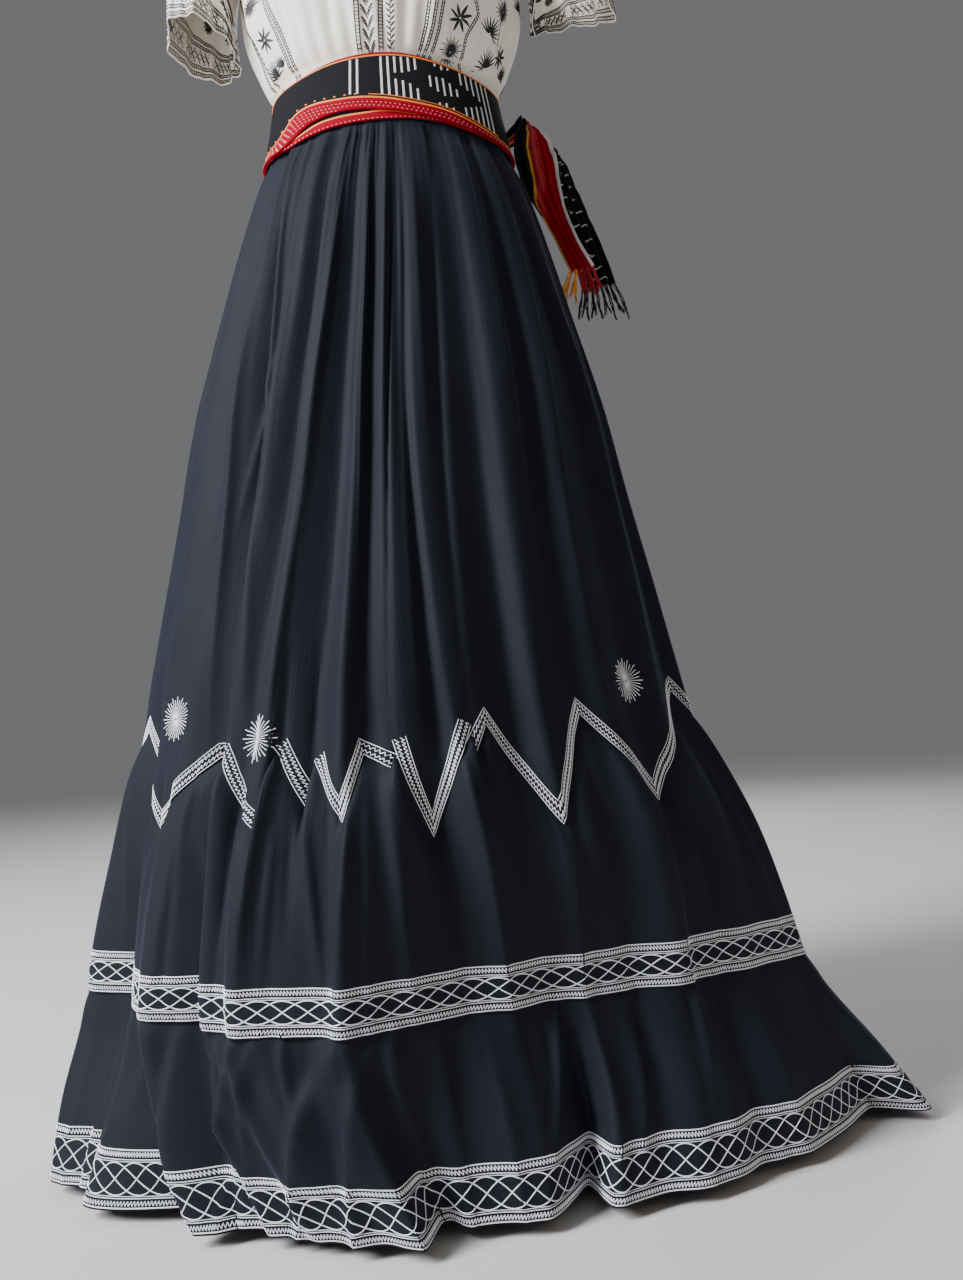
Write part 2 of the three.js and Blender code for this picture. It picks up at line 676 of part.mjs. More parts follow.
// A point of the pleated strip: share of its width from the left, and a distance past a row.
function endPoint(rows, r, share, past) {
  const { point, along, out, across } = endFrame(rows, r);
  const pleat = Math.abs(((share * END_COLUMNS) / 2) % 1 - 0.5) * 4 - 1;
  return point
    .clone()
    .addScaledVector(across, rows[r].width * (share - 0.5))
    .addScaledVector(out, END_PLEAT * pleat)
    .addScaledVector(along, past);
}

// Sash ends: the woven strip crumpled lengthwise into pleats.
function sashEnd(name, rows) {
  const grid = rows.map((_, r) =>
    Array.from({ length: END_COLUMNS + 1 }, (_, c) => endPoint(rows, r, c / END_COLUMNS, 0)),
  );
  mesh(name, sheetWall(grid, CLOTH, false), weave);
}
sashEnd("sash_end_front", frontEnd);
sashEnd("sash_end_back", backEnd);

function solidOf(geometry) {
  const bare = new THREE.BufferGeometry();
  bare.setAttribute("position", geometry.getAttribute("position"));
  bare.setIndex(geometry.index);
  const merged = mergeVertices(bare, 1e-4);
  const solid = new wasm.Mesh({
    numProp: 3,
    vertProperties: new Float32Array(merged.attributes.position.array),
    triVerts: new Uint32Array(merged.index.array),
  });
  return new wasm.Manifold(solid);
}

function geometryOf(solid) {
  const { vertProperties, triVerts } = solid.getMesh();
  const geometry = new THREE.BufferGeometry();
  geometry.setAttribute("position", new THREE.BufferAttribute(vertProperties, 3));
  geometry.setIndex(new THREE.BufferAttribute(triVerts, 1));
  return geometry;
}

// A three-sided lock of threads that tapers along a bowed line.
function lockGeometry(root, tip, bow) {
  const rings = [];
  for (let k = 0; k <= LOCK_STEPS; k += 1) {
    const share = k / LOCK_STEPS;
    const centre = root.clone().lerp(tip, share);
    centre.addScaledVector(bow, 4 * share * (1 - share));
    const radius = LOCK_RADIUS * (1 - 0.55 * share);
    rings.push(
      [0, 1, 2].map((side) => {
        const angle = (-2 * Math.PI * side) / 3;
        const offset = new THREE.Vector3(Math.cos(angle), Math.sin(angle), 0);
        return moved(centre, offset, radius);
      }),
    );
  }
  const points = rings.flat().flatMap((p) => [p.x, p.y, p.z]);
  const faces = [];
  for (let k = 0; k < LOCK_STEPS; k += 1)
    for (let side = 0; side < 3; side += 1) {
      const a = 3 * k + side;
      const b = 3 * k + ((side + 1) % 3);
      faces.push(a, b, b + 3, a, b + 3, a + 3);
    }
  const e = 3 * LOCK_STEPS;
  faces.push(2, 1, 0, e, e + 1, e + 2);
  const geometry = new THREE.BufferGeometry();
  geometry.setAttribute("position", new THREE.Float32BufferAttribute(points, 3));
  geometry.setIndex(faces);
  return geometry;
}

// A fringe: a narrow strip parted from the sash end, with the roots of its locks fused in it.
function fringe({ name, end, from, to, locks, length, drift, spread, color }) {
  const last = end.length - 1;
  const start = SEAM + 0.1;
  const shares = [from];
  for (let c = Math.ceil(from * END_COLUMNS + 0.01); c < to * END_COLUMNS; c += 1)
    shares.push(c / END_COLUMNS);
  shares.push(to);
  const strip = [start, start + FRINGE_HEAD].map((past) =>
    shares.map((share) => endPoint(end, last, share, past)),
  );
  let solid = solidOf(sheetWall(strip, CLOTH + 0.6, false));
  for (let k = 0; k < locks; k += 1) {
    const share = (k + 0.5) / locks;
    const root = endPoint(end, last, lerp(from, to, share), start + FRINGE_HEAD - 3);
    const turn = 2.4 * k;
    const long = length * (1 - 0.22 * (0.5 + 0.5 * Math.sin(turn * 1.7)));
    const tip = root.clone();
    tip.x += drift + spread * (share - 0.5);
    tip.y += 0.4 * spread * Math.sin(turn);
    tip.z -= long;
    const bow = new THREE.Vector3(2 * Math.sin(turn), 2 * Math.cos(turn), 0);
    solid = solid.add(solidOf(lockGeometry(root, tip, bow)));
  }
  // Bubbles that the locks close off between them are bodies of negative volume, and are dropped.
  const whole = solid.decompose().find((body) => body.volume() > 0);
  mesh(name, geometryOf(whole), { color, roughness: 0.8, metalness: 0 });
}
fringes.forEach(fringe);

export default outfit;
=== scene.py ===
import math

import bpy
import numpy as np
from mathutils import Matrix, Vector


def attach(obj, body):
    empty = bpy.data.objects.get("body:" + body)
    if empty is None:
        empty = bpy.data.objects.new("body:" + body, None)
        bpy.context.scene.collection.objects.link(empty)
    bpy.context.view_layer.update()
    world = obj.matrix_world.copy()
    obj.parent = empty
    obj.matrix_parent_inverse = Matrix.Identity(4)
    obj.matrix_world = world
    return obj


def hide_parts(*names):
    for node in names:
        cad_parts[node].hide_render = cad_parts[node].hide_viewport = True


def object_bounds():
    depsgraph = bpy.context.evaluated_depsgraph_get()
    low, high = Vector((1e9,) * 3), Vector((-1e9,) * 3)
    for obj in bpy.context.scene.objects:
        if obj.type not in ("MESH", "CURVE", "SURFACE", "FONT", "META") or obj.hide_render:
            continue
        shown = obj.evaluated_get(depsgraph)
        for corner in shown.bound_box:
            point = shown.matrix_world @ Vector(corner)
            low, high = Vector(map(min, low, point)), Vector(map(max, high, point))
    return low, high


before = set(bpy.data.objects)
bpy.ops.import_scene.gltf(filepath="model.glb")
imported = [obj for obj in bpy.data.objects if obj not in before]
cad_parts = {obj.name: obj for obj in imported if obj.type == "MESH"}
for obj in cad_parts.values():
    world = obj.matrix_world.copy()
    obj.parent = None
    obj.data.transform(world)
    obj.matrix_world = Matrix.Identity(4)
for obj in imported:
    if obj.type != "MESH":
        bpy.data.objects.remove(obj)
cad_box = [list(corner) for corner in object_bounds()]

# Camera: it stands low before the skirt, looks slightly up and is turned a little on its own
# axis, so the outfit leans to the right in the picture, as a hand-held phone shows it.
PICTURE = (963, 1280)
FOCAL_PIXELS = 1050
SENSOR = 36.0
EYE = (0.0685, -1.157, -0.62)
YAW, PITCH, ROLL = (math.radians(a) for a in (0.25, 3.8, 3.3))
ahead = np.array(
    [math.sin(YAW) * math.cos(PITCH), math.cos(YAW) * math.cos(PITCH), math.sin(PITCH)]
)
level = np.cross(ahead, [0, 0, 1])
level /= np.linalg.norm(level)
upright = np.cross(level, ahead)
rightward = level * math.cos(ROLL) - upright * math.sin(ROLL)
upward = upright * math.cos(ROLL) + level * math.sin(ROLL)
camera_data = bpy.data.cameras.new("camera")
camera_data.sensor_width = SENSOR
camera_data.lens = SENSOR * FOCAL_PIXELS / max(PICTURE)
camera = bpy.data.objects.new("camera", camera_data)
turned = Matrix([rightward, upward, -ahead]).transposed().to_4x4()
camera.matrix_world = Matrix.Translation(EYE) @ turned
bpy.context.scene.collection.objects.link(camera)
bpy.context.scene.camera = camera


# Studio: a wide pale floor just below the hem, a pale even surround, a large soft window light
# from the left in front, and weak light from the right and from behind.
def linear(code):
    """sRGB hex to linear RGBA: c/12.92 up to 0.04045, else ((c + 0.055)/1.055) to the 2.4."""
    parts = [int(code[i : i + 2], 16) / 255 for i in (1, 3, 5)]
    return [c / 12.92 if c <= 0.04045 else ((c + 0.055) / 1.055) ** 2.4 for c in parts] + [1.0]


def put(tree, kind, feeds=None, **settings):
    """Adds a node with its settings, and sets or links each of the inputs named in feeds."""
    made = tree.nodes.new(kind)
    for name, value in settings.items():
        setattr(made, name, value)
    for name, value in (feeds or {}).items():
        if isinstance(value, bpy.types.NodeSocket):
            tree.links.new(value, made.inputs[name])
        else:
            made.inputs[name].default_value = value
    return made


def finish_of(name, feeds, linked=None):
    """A material of one Principled shader: feeds gives its plain inputs, and linked is a function
    that makes the nodes of its linked inputs."""
    made = bpy.data.materials.new(name)
    made.use_nodes = True
    tree = made.node_tree
    tree.nodes.clear()
    given = dict(feeds)
    if linked:
        given.update(linked(tree))
    shader = put(tree, "ShaderNodeBsdfPrincipled", given)
    put(tree, "ShaderNodeOutputMaterial", {"Surface": shader.outputs["BSDF"]})
    return made


def piece(name, points, faces, material, flat_map=None, smooth=True):
    """A mesh object from points in metres and their faces, with a UV map for each point."""
    mesh = bpy.data.meshes.new(name)
    mesh.from_pydata(points.reshape(-1, 3), [], faces.tolist())
    mesh.materials.append(material)
    mesh.polygons.foreach_set("use_smooth", np.full(len(mesh.polygons), smooth))
    if flat_map is not None:
        corners = np.empty(len(mesh.loops), int)
        mesh.loops.foreach_get("vertex_index", corners)
        layer = mesh.uv_layers.new(name="cloth")
        layer.data.foreach_set("uv", flat_map.reshape(-1, 2)[corners].ravel())
    made = bpy.data.objects.new(name, mesh)
    bpy.context.scene.collection.objects.link(made)
    return made


FLOOR_DROP = 0.012
FLOOR_RADIUS = 7.0
FLOOR_CORNERS = 96
floor_angles = np.linspace(0, 2 * np.pi, FLOOR_CORNERS, endpoint=False)
floor_z = cad_box[0][2] - FLOOR_DROP
rim = np.stack(
    [
        FLOOR_RADIUS * np.cos(floor_angles),
        FLOOR_RADIUS * np.sin(floor_angles),
        np.full_like(floor_angles, floor_z),
    ],
    axis=-1,
)
floor_paint = finish_of(
    "matt_floor_paint", {"Base Color": linear("#d9d6d1"), "Roughness": 0.85}
)
floor = piece("studio_floor", rim, np.arange(FLOOR_CORNERS)[None], floor_paint, smooth=False)

SURROUND_STRENGTH = 0.2
surround = bpy.data.worlds.new("studio_surround")
surround.use_nodes = True
surround.node_tree.nodes["Background"].inputs["Color"].default_value = linear("#e9eaee")
surround.node_tree.nodes["Background"].inputs["Strength"].default_value = SURROUND_STRENGTH
bpy.context.scene.world = surround

# Each light: place, aim, width and height in metres, power in watts and colour.
LIGHTS = {
    "window_light": ((-2.65, -1.6, 1.4), (0.0, 0.0, -0.5), 1.0, 1.9, 330, "#f4f5fb"),
    "room_light": ((2.8, -1.6, 0.9), (0.0, 0.0, -0.5), 2.0, 2.0, 10, "#fff1e2"),
    "back_light": ((0.6, 2.8, 1.6), (0.0, 0.0, -0.4), 2.0, 2.0, 60, "#f4f6ff"),
}
for light_name, (place, aim, width, height, power, tint) in LIGHTS.items():
    light_data = bpy.data.lights.new(light_name, "AREA")
    light_data.shape = "RECTANGLE"
    light_data.size, light_data.size_y = width, height
    light_data.energy = power
    light_data.color = linear(tint)[:3]
    light = bpy.data.objects.new(light_name, light_data)
    facing = (Vector(aim) - Vector(place)).to_track_quat("-Z", "Y")
    light.matrix_world = Matrix.Translation(place) @ facing.to_matrix().to_4x4()
    bpy.context.scene.collection.objects.link(light)

# Skirt cloth: black-navy cotton in three tiers, each gathered and sewn behind the one above.
# The folds are those of the solids: ridges all round, each with a valley that leans to a side.
MM = 0.001
HIP, ZIGZAG, BAND, HEM = 370.0, 640.0, 882.0, 1043.0
SKIRT_TOP, SASH_EDGE, BELOW_SASH = -6.0, 3.0, 18.0
PEAK, TIP, BACK_CORNERS = 610.0, 716.0, 16
UNDER = 2.45
MIDDLE_PUFF, RUFFLE_PUFF, PUFF_RISE = 12.0, 14.0, 30.0
WAIST_GATHERS, TIER_GATHERS = 48, 36
GATHER_FADE = 90.0
LAP = 14.0

OUTLINE = np.array(
    [
        # drop, half width, half depth, shift
        [-6, 132.9, 99.1, 0],
        [3, 134.2, 99.7, 0],
        [18, 141.5, 107.5, 0],
        [40, 152.5, 118.5, 0],
        [100, 172, 141, 0],
        [200, 198, 168, 0],
        [300, 224, 195, 0],
        [400, 244, 213, 0],
        [500, 266, 233, 0],
        [580, 283, 248, 0],
        [640, 295, 257, 2],
        [680, 309, 267, 4],
        [750, 332, 277, 11],
        [820, 350, 280, 15],
        [880, 362, 280, 19],
        [920, 370, 272, 26],
        [980, 401, 270, 41],
        [1043, 432, 268, 57],
    ],
    float,
)
FOLDS = np.array(
    [
        # azimuths at waist, hip, band, hem; crests at band, hem; depths at hip, zigzag, band,
        # hem; lean of the valley
        [-84, -80, -77, -65, -3, -10, 9, 16, 40, 22, 0.6],
        [-66, -60, -62, -53, 30, -12, 6, 10, 6, 46, 0.7],
        [-45, -44, -48, -33, 5, -8, 14, 20, 28, 16, 0.7],
        [-27, -31, -34, -24, 8, 4, 9, 9, 5, 8, 0.5],
        [-15, -21, -28, -18, 0, 2, 12, 16, 6, 5, 0.4],
        [-5, -8, -12, -7, 6, -9, 9, 12, 4, 38, -0.5],
        [2, -1, 0, -2, 50, 25, 8, 10, 4, 6, 0.4],
        [10, 6, 12, 6, 64, 28, 14, 18, 8, 46, 0.6],
        [31, 26, 25, 14, 72, 42, 10, 12, 10, 5, 0.3],
        [46, 40, 42, 28, 52, 42, 9, 10, 8, 5, 0.3],
        [62, 60, 56, 43, 40, 62, 8, 12, 6, 42, 0.8],
        [80, 77, 72, 74, -3, 0, 10, 14, 22, 28, 0.5],
        [97, 98, 98, 96, 0, 0, 9, 14, 26, 34, -0.6],
        [112, 113, 112, 114, 4, -4, 8, 12, 22, 28, 0.6],
        [128, 126, 128, 128, 6, 6, 9, 16, 30, 40, -0.4],
        [143, 142, 143, 144, 2, -4, 10, 14, 24, 30, 0.5],
        [157, 158, 156, 158, 8, 4, 8, 12, 20, 34, -0.5],
        [170, 171, 171, 170, 4, -2, 9, 15, 28, 38, 0.6],
        [184, 186, 185, 184, 6, 5, 8, 12, 22, 30, 0.3],
        [198, 199, 200, 201, 2, -5, 9, 14, 30, 40, -0.6],
        [213, 214, 216, 217, 7, 2, 8, 12, 22, 30, 0.5],
        [229, 228, 231, 233, 3, -3, 9, 15, 28, 38, 0.4],
        [245, 244, 246, 250, 8, 4, 8, 12, 24, 30, -0.5],
        [260, 263, 264, 273, 0, -4, 9, 14, 26, 26, 0.5],
    ],
    float,
)
SIDE_LEFT, SIDE_RIGHT = -0.5, 11.5
FOLD_LEVELS = {
    "azimuth": ([0, HIP, BAND, HEM], FOLDS[:, 0:4].T),
    "crest": (
        [0, HIP, ZIGZAG, BAND, HEM],
        FOLDS[:, [4, 4, 4, 4, 5]].T * np.array([[0], [0], [0.3], [1], [1]]),
    ),
    "depth": (
        [SASH_EDGE, BELOW_SASH, HIP, ZIGZAG, BAND, HEM],
        FOLDS[:, [6, 6, 6, 7, 8, 9]].T,
    ),
}
FOLD_LEVELS["depth"][1][0] = 0
FOLD_LEVELS["depth"][1][1] = 4


def curve(at, values, place, line=None):
    """Hermite curve through rising places: a smoothstep from value to value, plus a bend
    s(1 - s)((1 - s) slope before - s slope after). Line picks a column of the values."""
    at = np.asarray(at, float)
    values = np.asarray(values, float)
    last = len(at) - 1
    before = np.maximum(np.arange(last + 1) - 1, 0)
    after = np.minimum(np.arange(last + 1) + 1, last)
    slope = ((values[after] - values[before]).T / (at[after] - at[before])).T
    x = np.clip(place, at[0], at[-1])
    i = np.clip(np.searchsorted(at, x) - 1, 0, last - 1)
    pick = (lambda k: (k, line)) if line is not None else (lambda k: k)
    width = at[i + 1] - at[i]
    s = (x - at[i]) / width
    rise = values[pick(i)] + (values[pick(i + 1)] - values[pick(i)]) * s * s * (3 - 2 * s)
    return rise + width * s * (1 - s) * ((1 - s) * slope[pick(i)] - s * slope[pick(i + 1)])


def fold_surface(place, drop, puff):
    """Point at a fold coordinate and a drop, in mm: on an ellipse whose half axes are the
    outline's less the inset, shift + (w - inset) sin t and -(d - inset) cos t. The inset runs
    from crest to crest, and adds depth times a smoothstep dip at the leaning valley."""
    place, drop, puff = np.broadcast_arrays(place, drop, puff)
    i = np.floor(place).astype(int)
    s = place - i
    own, following = i % len(FOLDS), (i + 1) % len(FOLDS)
    here = {k: curve(at, v, drop, own) for k, (at, v) in FOLD_LEVELS.items()}
    ahead_of = {k: curve(at, v, drop, following) for k, (at, v) in FOLD_LEVELS.items()}
    turn = np.where(ahead_of["azimuth"] < here["azimuth"], 360, 0)
    depth = np.maximum(here["depth"], 0)
    lean = FOLDS[own, 10]
    valley = 0.5 + 0.3 * lean
    x = np.where(s < valley, s / valley, (1 - s) / (1 - valley))
    dip = x * x * (3 - 2 * x)
    over = 0.25 * lean * np.minimum(1, (depth / 30) ** 2) * dip
    span = ahead_of["azimuth"] + turn - here["azimuth"]
    t = np.radians(here["azimuth"] + span * (s + over))
    inset = here["crest"] + (ahead_of["crest"] - here["crest"]) * s + depth * dip - puff
    wide, deep, shift = (curve(OUTLINE[:, 0], OUTLINE[:, k], drop) for k in (1, 2, 3))
    x, y = shift + (wide - inset) * np.sin(t), -(deep - inset) * np.cos(t)
    return np.stack([x, y, -drop], axis=-1)


def lengths(points):
    """Length of the line through points, from its start to each of them."""
    steps = np.linalg.norm(np.diff(points, axis=0), axis=-1)
    return np.concatenate([[0], np.cumsum(steps)])


fold_places = np.linspace(SIDE_LEFT, SIDE_LEFT + len(FOLDS), 3201)
cloth_arcs = lengths(fold_surface(fold_places, ZIGZAG, 0))
ROUND = cloth_arcs[-1]
SEAM_ARC = np.interp(SIDE_RIGHT, fold_places, cloth_arcs)
back_arcs = np.linspace(SEAM_ARC, ROUND, BACK_CORNERS + 1)
# Zigzag edge: length of cloth and drop of its corners. A new run starts where a fold of the
# gathered cloth swallows the rest of a tooth.
EDGE_RUNS = {
    "front": (
        [(0, 716), (60, 622), (150, 722), (243, 650), (272, 650), (296, 690), (331, 714)],
        [(333, 642), (368, 698)],
        [(369.5, 656), (406, 709), (427, 653), (451, 666)],
        [(452.5, 642), (475, 728), (529, 633)],
        [(530, 656), (545, 633), (602, 726), (651, 629), (720, 716), (815, 612), (SEAM_ARC, 716)],
    ),
    "back": ([(arc, PEAK if k % 2 else TIP) for k, arc in enumerate(back_arcs)],),
}
edge_corners = [corner for runs in EDGE_RUNS.values() for run in runs for corner in run]
corner_arcs, corner_drops = np.array(edge_corners).T


def on_skirt(arc, drop, puff):
    """Point at a length of cloth round the skirt, measured at the zigzag, and a drop."""
    return fold_surface(np.interp(arc % ROUND, cloth_arcs, fold_places), drop, puff)


def zigzag_edge(arc):
    """Drop of the zigzag edge: straight lines from corner to corner of the flat cloth."""
    return np.interp(arc % ROUND, corner_arcs, corner_drops)


def gather(arc, count):
    """Sine wave round the cloth, with a slow drift of 1.3 radians in its spacing."""
    turn = 2 * np.pi * arc / ROUND
    return np.sin(count * turn + 1.3 * np.sin(5 * turn))


def eased(x):
    """Smoothstep of x from 0 to 1."""
    x = np.clip(x, 0, 1)
    return x * x * (3 - 2 * x)


# Creases: length of cloth from the left side seam to the crease, its first and last
# drop, how far it drifts to the viewer's right, its half widths to the left and to the right, and
# its height, less than 0 for a trough.
CREASES = np.array(
    [
        [62, 60, 640, -20, 16, 8, 4.0],
        [116, 30, 640, -10, 36, 6, -8.0],
        [140, 16, 240, -6, 7, 5, 2.4],
        [172, 40, 640, 8, 34, 6, -9.0],
        [208, 16, 740, 92, 22, 5, -6.5],
        [186, 120, 740, 54, 10, 7, 4.6],
        [190, 500, 740, 4, 16, 12, -5.0],
        [262, 240, 470, -42, 7, 5, 3.4],
        [216, 14, 720, 94, 9, 5, 4.2],
        [272, 30, 420, 14, 9, 7, -3.0],
        [302, 16, 640, 6, 20, 6, -6.0],
        [312, 14, 380, 4, 9, 5, 3.4],
        [340, 14, 620, -12, 17, 7, 4.8],
        [328, 420, 780, 2, 10, 4, 3.6],
        [339, 540, 780, 0, 4, 8, -3.2],
        [369, 540, 780, 0, 6, 4, -3.2],
        [392, 16, 760, -4, 28, 8, -6.0],
        [413, 14, 740, 6, 6, 5, 3.8],
        [436, 60, 640, 4, 9, 8, -2.0],
        [462, 30, 420, -4, 12, 4, 3.2],
        [479, 30, 760, -32, 5, 4, -4.4],
        [497, 14, 440, -6, 12, 7, 3.6],
        [494, 300, 860, -20, 24, 8, 5.2],
        [521, 14, 460, 4, 8, 10, 3.2],
        [552, 40, 780, -28, 28, 5, -5.2],
        [586, 40, 560, 10, 20, 20, -2.5],
        [628, 30, 680, -4, 16, 10, 4.0],
        [662, 60, 560, 8, 14, 10, -2.8],
        [702, 24, 680, -34, 14, 9, 3.8],
        [732, 60, 520, 10, 12, 10, -3.2],
        [754, 100, 780, 14, 14, 9, 4.0],
        [800, 40, 480, 12, 9, 8, 3.2],
        [836, 30, 400, 10, 8, 7, -3.4],
        [872, 120, 620, 8, 10, 9, -3.6],
        [150, 700, 910, 6, 8, 5, 3.2],
        [64, 640, 860, 10, 8, 8, 4.5],
        [62, 640, 900, 8, 38, 6, -7.0],
        [112, 650, 880, 6, 24, 6, -7.0],
        [150, 650, 900, 8, 30, 6, -9.0],
        [222, 640, 920, -8, 40, 5, -8.0],
        [226, 640, 940, -24, 14, 6, 6.0],
        [238, 700, 880, 40, 6, 10, 3.5],
        [266, 640, 900, 0, 12, 8, -4.6],
        [299, 660, 900, -8, 36, 5, -8.0],
        [315, 620, 900, -4, 5, 4, 3.2],
        [334, 680, 900, -8, 14, 4, 5.2],
        [347, 700, 880, -4, 3, 4, 3.0],
        [359, 690, 840, 4, 5, 5, -3.2],
        [368, 680, 880, 26, 8, 4, 4.2],
        [404, 660, 900, -8, 20, 4, -6.5],
        [416, 640, 1000, -28, 5, 20, 5.5],
        [434, 620, 1000, -18, 5, 9, 4.5],
        [448, 620, 980, 0, 14, 6, 5.5],
        [480, 620, 1000, 6, 20, 8, -4.8],
        [516, 600, 1000, -4, 18, 5, 6.0],
        [556, 620, 960, 6, 20, 12, -4.0],
        [606, 560, 1120, -6, 22, 7, 5.4],
        [640, 620, 1000, 10, 10, 8, -3.2],
        [690, 640, 1040, 10, 14, 10, 3.8],
        [740, 640, 1000, 14, 10, 10, -3.2],
        [800, 640, 1060, 16, 16, 10, 4.0],
        [845, 620, 960, 8, 10, 8, -3.2],
        [20, 870, 1160, 6, 8, 12, 5.0],
        [54, 870, 1160, 10, 8, 12, 5.0],
        [118, 870, 1000, 6, 6, 8, 3.0],
        [180, 880, 1100, 0, 12, 8, -4.0],
        [72, 862, 1140, 6, 40, 6, -8.5],
        [140, 862, 1120, -20, 34, 6, -8.0],
        [198, 862, 1000, -60, 6, 6, 4.5],
        [228, 862, 1100, -70, 40, 6, -8.5],
        [292, 862, 1120, -90, 38, 6, -8.0],
        [340, 860, 1100, -165, 7, 20, 8.0],
        [352, 860, 1040, -95, 5, 8, 4.5],
        [361, 862, 980, -8, 4, 4, 3.2],
        [412, 860, 1160, -188, 7, 22, 9.5],
        [434, 860, 1160, -138, 7, 20, 9.5],
        [436, 862, 1000, -12, 5, 5, 4.2],
        [462, 862, 1000, -4, 6, 6, 4.2],
        [575, 862, 1060, -70, 7, 10, 5.5],
        [700, 862, 1010, -20, 6, 6, 3.5],
        [730, 862, 1000, 6, 6, 6, 3.5],
        [802, 862, 1020, 8, 6, 6, 3.5],
        [438, 860, 1160, -13, 20, 6, 8.0],
        [489, 860, 1160, 13, 16, 10, 7.0],
        [599, 860, 1160, 15, 24, 8, 7.0],
        [642, 860, 1080, -28, 8, 8, 4.0],
        [676, 880, 1100, 6, 12, 10, -4.0],
        [760, 870, 1160, 10, 14, 10, 5.0],
    ],
    float,
)
CREASE_GAIN = 1.2
CREASE_REACH = 1.9  # in half widths
CREASE_SKEW = 0.7  # less than 1 sets the deepest place above the middle of a crease


def creased(arc, drop, rows):
    """Sum of troughs and ridges: 1.2 times the height, times (1 - distance / reach) squared with
    a reach of 1.9 half widths on each side, times the square of sin(pi s^0.7), where s runs from
    0 at the first drop to 1 at the last."""
    total = np.zeros(np.broadcast(arc, drop).shape)
    for start, top, bottom, drift, left, right, height in rows:
        along = np.clip((drop - top) / (bottom - top), 0, 1)
        away = (arc - start - drift * along + ROUND / 2) % ROUND - ROUND / 2
        reach = CREASE_REACH * np.where(away < 0, left, right)
        near = np.clip(1 - np.abs(away) / reach, 0, 1) ** 2
        total += CREASE_GAIN * height * near * np.sin(np.pi * along**CREASE_SKEW) ** 2
    return total


# Behind, the same rows are set a little closer, drift the other way and are a little wider.
BACK_FACTORS = [0.93, 1, 1, -1, 1.1, 1.05, 1]
back_creases = CREASES * BACK_FACTORS
back_creases[:, 0] += SEAM_ARC
skirt_creases = np.concatenate([CREASES, back_creases])


def upper_tier(arc, drop):
    """Skirt surface drawn in by 48 small waist gathers and by finer ones between them, which
    both fade with exp(-drop / 90), and creased by the listed rows."""
    begun = eased((drop - SASH_EDGE) / (BELOW_SASH - SASH_EDGE)) * np.exp(-drop / GATHER_FADE)
    fine = 0.8 * gather(arc + 9, 83) * np.exp(-drop / 60) + 0.5 * gather(arc, 131)
    gathered = (1.2 * (gather(arc, WAIST_GATHERS) - 1) + fine) * begun
    return on_skirt(arc, drop, gathered + creased(arc, drop, skirt_creases))


def risen(puff, below):
    """How far a gathered tier stands out below its seam: puff (1 - exp(-below / 30))."""
    return puff * (1 - np.exp(-below / PUFF_RISE))


def tier_gather(arc, below):
    """36 gathers that start in 12 mm and fade to about a third, with finer ones between."""
    start = 1 - np.exp(-below / 12)
    fade = 0.35 + 0.65 * np.exp(-below / GATHER_FADE)
    fine = 1.1 * gather(arc + 5, 77) * np.exp(-below / 70)
    finest = 0.6 * gather(arc, 143) * np.exp(-below / 35)
    return start * (3 * gather(arc, TIER_GATHERS) * fade + fine + finest)


def middle_tier(arc, drop):
    """Skirt surface that starts under the zigzag edge and stands out by 12 mm below it."""
    below = np.maximum(drop - zigzag_edge(arc), 0)
    puff = risen(MIDDLE_PUFF, below) + tier_gather(arc, below) - UNDER * np.exp(-below / 10)
    return on_skirt(arc, drop, puff + creased(arc, drop, skirt_creases))


def ruffle_tier(arc, drop):
    """Skirt surface that starts under the band and stands out by 14 mm more below it."""
    below = np.maximum(drop - BAND, 0)
    start = risen(MIDDLE_PUFF, BAND - zigzag_edge(arc)) - UNDER
    puff = start + risen(RUFFLE_PUFF, below) + tier_gather(arc + 18, below)
    return on_skirt(arc, drop, puff + creased(arc, drop, skirt_creases))


def grid_faces(rows, columns, closed=False):
    """Quads between the points of a grid, rows down and columns to the viewer's right."""
    spans = columns if closed else columns - 1
    r, c = np.meshgrid(np.arange(rows - 1), np.arange(spans), indexing="ij")
    across = (c + 1) % columns
    quads = [r * columns + c, (r + 1) * columns + c, (r + 1) * columns + across, r * columns + across]
    return np.stack(quads, axis=-1).reshape(-1, 4)


def thicken(made, thickness):
    """Gives a piece of cloth its thickness, half of it to each side."""
    wall = made.modifiers.new("thickness", "SOLIDIFY")
    wall.thickness = thickness
    wall.offset = 0
    return made


COTTON_THICKNESS = 1.0 * MM
SEAM_GAP = 0.15
SLUB = 2.5 * MM  # thick places in the yarn, about half this apart, drawn as coarse as they show
WEAR = 60 * MM


